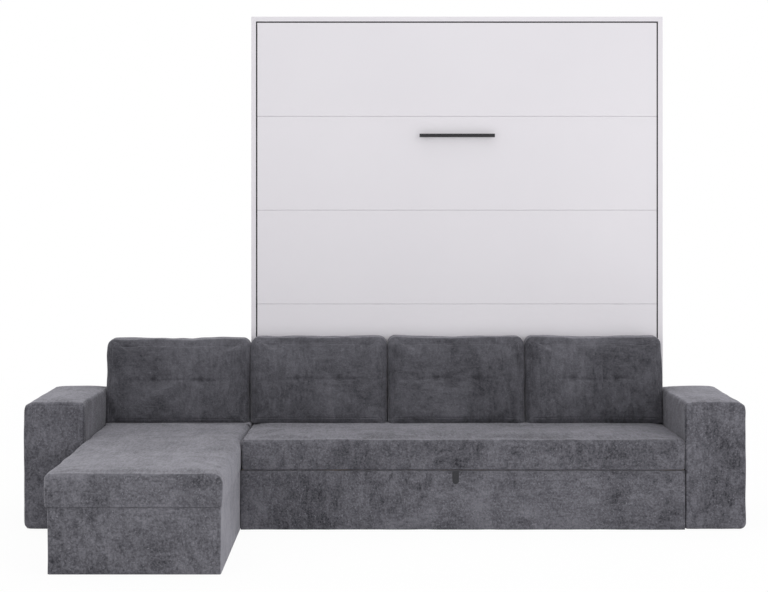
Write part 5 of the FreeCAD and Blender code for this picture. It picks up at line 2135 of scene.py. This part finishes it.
@dataclass
class Mattress(SubAssembly):
    """Foam mattress with quilted faces, piped edges and holding straps.

    Args:
        quilt: Size of the quilted diamonds.
        quilt_depth: Depth of their seams.
        corner: Radius of the corners, seen on the face.
        edge: Rounding of the edges.
        piping: Radius of the piping, and how far it lies inside the face.
        strap: Width and thickness of the straps.
        strap_inset: How far their middle lies inside the rails and the room behind.
    """

    quilt: float = 0.14
    quilt_depth: float = 0.006
    corner: float = 0.05
    edge: float = 0.022
    piping: Pair = (0.0035, 0.004)
    strap: Pair = (0.05, 0.0017)
    strap_inset: float = 0.0012

    def build(self) -> None:
        """Build the mattress with its piping and its straps."""
        low, high = (np.array(corner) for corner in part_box("mattress"))
        self.body(low, high)
        self.edges(low, high)
        self.straps()

    def body(self, low: Array, high: Array) -> None:
        """Quilted block.

        Args:
            low: Lowest corner.
            high: Highest corner.
        """
        block = Block(low, high, Axis.Y, (self.corner,) * 4, (self.edge, self.edge), 0.02)
        piece = block.mesh("mattress_body")
        subdivide(piece)
        points, outward = get_points(piece), normals_of(piece)
        face = smoothstep(np.abs(outward[:, 1]), 0.75, 0.98)
        first = (points[:, 0] + points[:, 2]) / self.quilt
        second = (points[:, 0] - points[:, 2]) / self.quilt
        puff = np.minimum(np.abs(np.sin(math.pi * first)), np.abs(np.sin(math.pi * second)))
        dent = self.quilt_depth * (1 - np.clip(puff, 0, 1) ** 0.5) * face
        distance, half, depth = 0.045, 0.006, 0.003
        from_middle = np.abs(points[:, 1] - (low[1] + high[1]) / 2)
        side = 1 - smoothstep(np.abs(outward[:, 1]), 0.1, 0.5)
        dent += bell(from_middle - distance, half) * depth * side
        set_points(piece, np.clip(points - outward * dent[:, None], low, high))
        self.dresser.dress(piece, Slot.MATTRESS, "bed", ["mattress"], 0.95)

    def edges(self, low: Array, high: Array) -> None:
        """Piping that is sewn round both faces.

        Args:
            low: Lowest corner of the mattress.
            high: Highest corner of the mattress.
        """
        radius, inset = self.piping
        left, right = low[0] + 2 * inset, high[0] - 2 * inset
        foot, head = low[2] + 2 * inset, high[2] - 2 * inset
        for index, y in enumerate((low[1] + inset, high[1] - inset), start=1):
            corners = [Vector((x, y, z)) for x, z in
                       ((left, (low[2] + high[2]) / 2), (left, foot), (right, foot), (right, head),
                        (left, head))]
            path = rounded_path(corners + corners[:1], self.corner, 8, 0.05)
            piece = tube("mattress_piping_%d" % index, path, radius)
            self.dresser.dress(piece, Slot.MATTRESS, "bed")

    def straps(self) -> None:
        """Two straps over the mattress, from rail to rail."""
        width, thickness = self.strap
        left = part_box("bed_side_rail_left")[1].x + self.strap_inset
        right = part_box("bed_side_rail_right")[0].x - self.strap_inset
        low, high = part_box("mattress_straps")
        back = high.y - self.strap_inset
        for index, z in enumerate((low.z + width / 2, high.z - width / 2)):
            corners = [Vector((x, y, z)) for x, y in ((left, low.y), (left, back), (right, back),
                                                      (right, low.y))]
            path = rounded_path(corners, 0.02, 6, 0.04)
            piece = ribbon("mattress_strap_%d" % (index + 1), path, Vector((0, 0, 1)), width,
                           thickness)
            stands_for = ["mattress_straps"] if index == 0 else []
            self.dresser.dress(piece, Slot.WEBBING, "bed", stands_for)


# Surroundings


@dataclass(frozen=True)
class Camera:
    """Level camera at the photograph's viewing angle.

    Args:
        place: Where the eye is.
        lens: Focal length in millimetres on a 36 mm wide sensor.
        rise: Shift of the frame, as a share of its width.
        turn: Sideways shift of the frame.
    """

    place: Triple = (0.0, -7.261, 1.343)
    lens: float = 84.23
    rise: float = -0.138
    turn: float = -0.0008

    def build(self) -> None:
        """Set up the scene's camera."""
        data = bpy.data.cameras.new("camera")
        data.lens = self.lens
        data.sensor_width = 36.0
        data.shift_y = self.rise
        data.shift_x = self.turn
        camera = bpy.data.objects.new("camera", data)
        camera.location = self.place
        camera.rotation_euler = (math.pi / 2, 0, 0)
        bpy.context.scene.collection.objects.link(camera)
        bpy.context.scene.camera = camera


@dataclass(frozen=True)
class SoftBox:
    """One large soft lamp.

    Args:
        name: Its name.
        place: Where it hangs.
        target: Where it points.
        size: Width and height.
        power: Power in watts.
    """

    name: str
    place: Triple
    target: Triple
    size: Pair
    power: float

    def build(self) -> None:
        """Hang the lamp."""
        data = bpy.data.lights.new(self.name, "AREA")
        data.shape = "RECTANGLE"
        data.size, data.size_y = self.size
        data.energy = self.power
        lamp = bpy.data.objects.new(self.name, data)
        lamp.location = self.place
        aim = Vector(self.target) - Vector(self.place)
        lamp.rotation_euler = aim.to_track_quat("-Z", "Y").to_euler()
        bpy.context.scene.collection.objects.link(lamp)


@dataclass
class Studio:
    """Pale floor, even sky and soft lamps.

    Args:
        sky: Strength of the sky as a light.
        white: How white the floor is to the eye in the middle.
        lamps: The lamps.
    """

    sky: float = 0.85
    white: float = 0.95
    lamps: tuple[SoftBox, ...] = (
        SoftBox("key", (4.0, -5.5, 2.7), (0.0, 0.0, 0.8), (3.5, 3.0), 42.5),
        SoftBox("side", (5.5, -1.5, 2.0), (0.0, 0.0, 0.8), (3.5, 3.0), 36.0),
        SoftBox("fill", (-4.6, -5.2, 2.0), (0.0, 0.3, 0.9), (3.0, 3.0), 17.5),
        SoftBox("front", (0.0, -8.5, 1.5), (0.0, 0.0, 0.9), (5.0, 3.0), 59.0),
        SoftBox("top", (0.0, 0.5, 5.5), (0.0, 0.3, 0.0), (5.0, 4.0), 36.0),
    )

    def build(self) -> None:
        """Set up the floor, the sky and the lamps."""
        bpy.context.scene.view_settings.view_transform = "Standard"
        self.world()
        self.floor()
        for lamp in self.lamps:
            lamp.build()

    def seen(self, sketch: NodeSketch) -> Socket:
        """1 for camera, mirror and see-through rays, 0 for rays that carry light."""
        path = sketch.add("ShaderNodeLightPath").outputs
        both = sketch.math("MAXIMUM", path["Is Camera Ray"], path["Is Glossy Ray"])
        return sketch.math("MAXIMUM", both, path["Is Transmission Ray"])

    def world(self) -> None:
        """White to the eye, dimmer as a light."""
        world = bpy.data.worlds.new("sky")
        bpy.context.scene.world = world
        world.use_nodes = True
        sketch = NodeSketch(world.node_tree)
        strength = sketch.plus(self.sky, self.seen(sketch), 1 - self.sky)
        inputs = {"Color": (1, 1, 1, 1), "Strength": strength}
        sketch.feed(world.node_tree.nodes["Background"], inputs)

    def floor(self) -> None:
        """Wide pale floor that keeps the object's shadow."""
        reach, drop = 60.0, 0.0005
        corners = [(reach * x, reach * y, -drop)
                   for x, y in ((-1, -1), (1, -1), (1, 1), (-1, 1))]
        floor = make_object("floor", corners, [(0, 1, 2, 3)])
        material = bpy.data.materials.new("pale_floor")
        material.use_nodes = True
        sketch = NodeSketch(material.node_tree)
        nodes = material.node_tree.nodes
        shader = nodes["Principled BSDF"]
        sketch.feed(shader, {"Base Color": (0.92, 0.92, 0.92, 1), "Roughness": 0.9,
                             "Specular IOR Level": 0.1})
        place = sketch.add("ShaderNodeNewGeometry").outputs["Position"]
        away = sketch.add("ShaderNodeVectorMath", {0: place}, operation="LENGTH").outputs["Value"]
        far = sketch.spread(away, 2.0, 6.0)
        white = sketch.math("MULTIPLY", self.seen(sketch),
                            sketch.plus(self.white, far, 1 - self.white))
        glow = sketch.add("ShaderNodeEmission", {"Color": (1, 1, 1, 1), "Strength": 1.0})
        mixed = sketch.add("ShaderNodeMixShader", {0: white, 1: shader.outputs[0],
                                                   2: glow.outputs[0]})
        sketch.feed(nodes["Material Output"], {"Surface": mixed.outputs[0]})
        floor.data.materials.append(material)


def main() -> None:
    """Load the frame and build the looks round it."""
    logging.basicConfig(level=logging.INFO, format="%(name)s: %(message)s")
    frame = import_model()
    dresser = Dresser(Palette())
    dresser.dress_frame(frame)
    Camera().build()
    Studio().build()
    for assembly in (BackCushions, Seat, Arms, Chaise, Mattress, RevealShadeSeals, GrooveTongues,
                     Fixings):
        log.info("building %s", assembly.__name__)
        assembly(dresser).build()


if __name__ == "__main__":
    main()
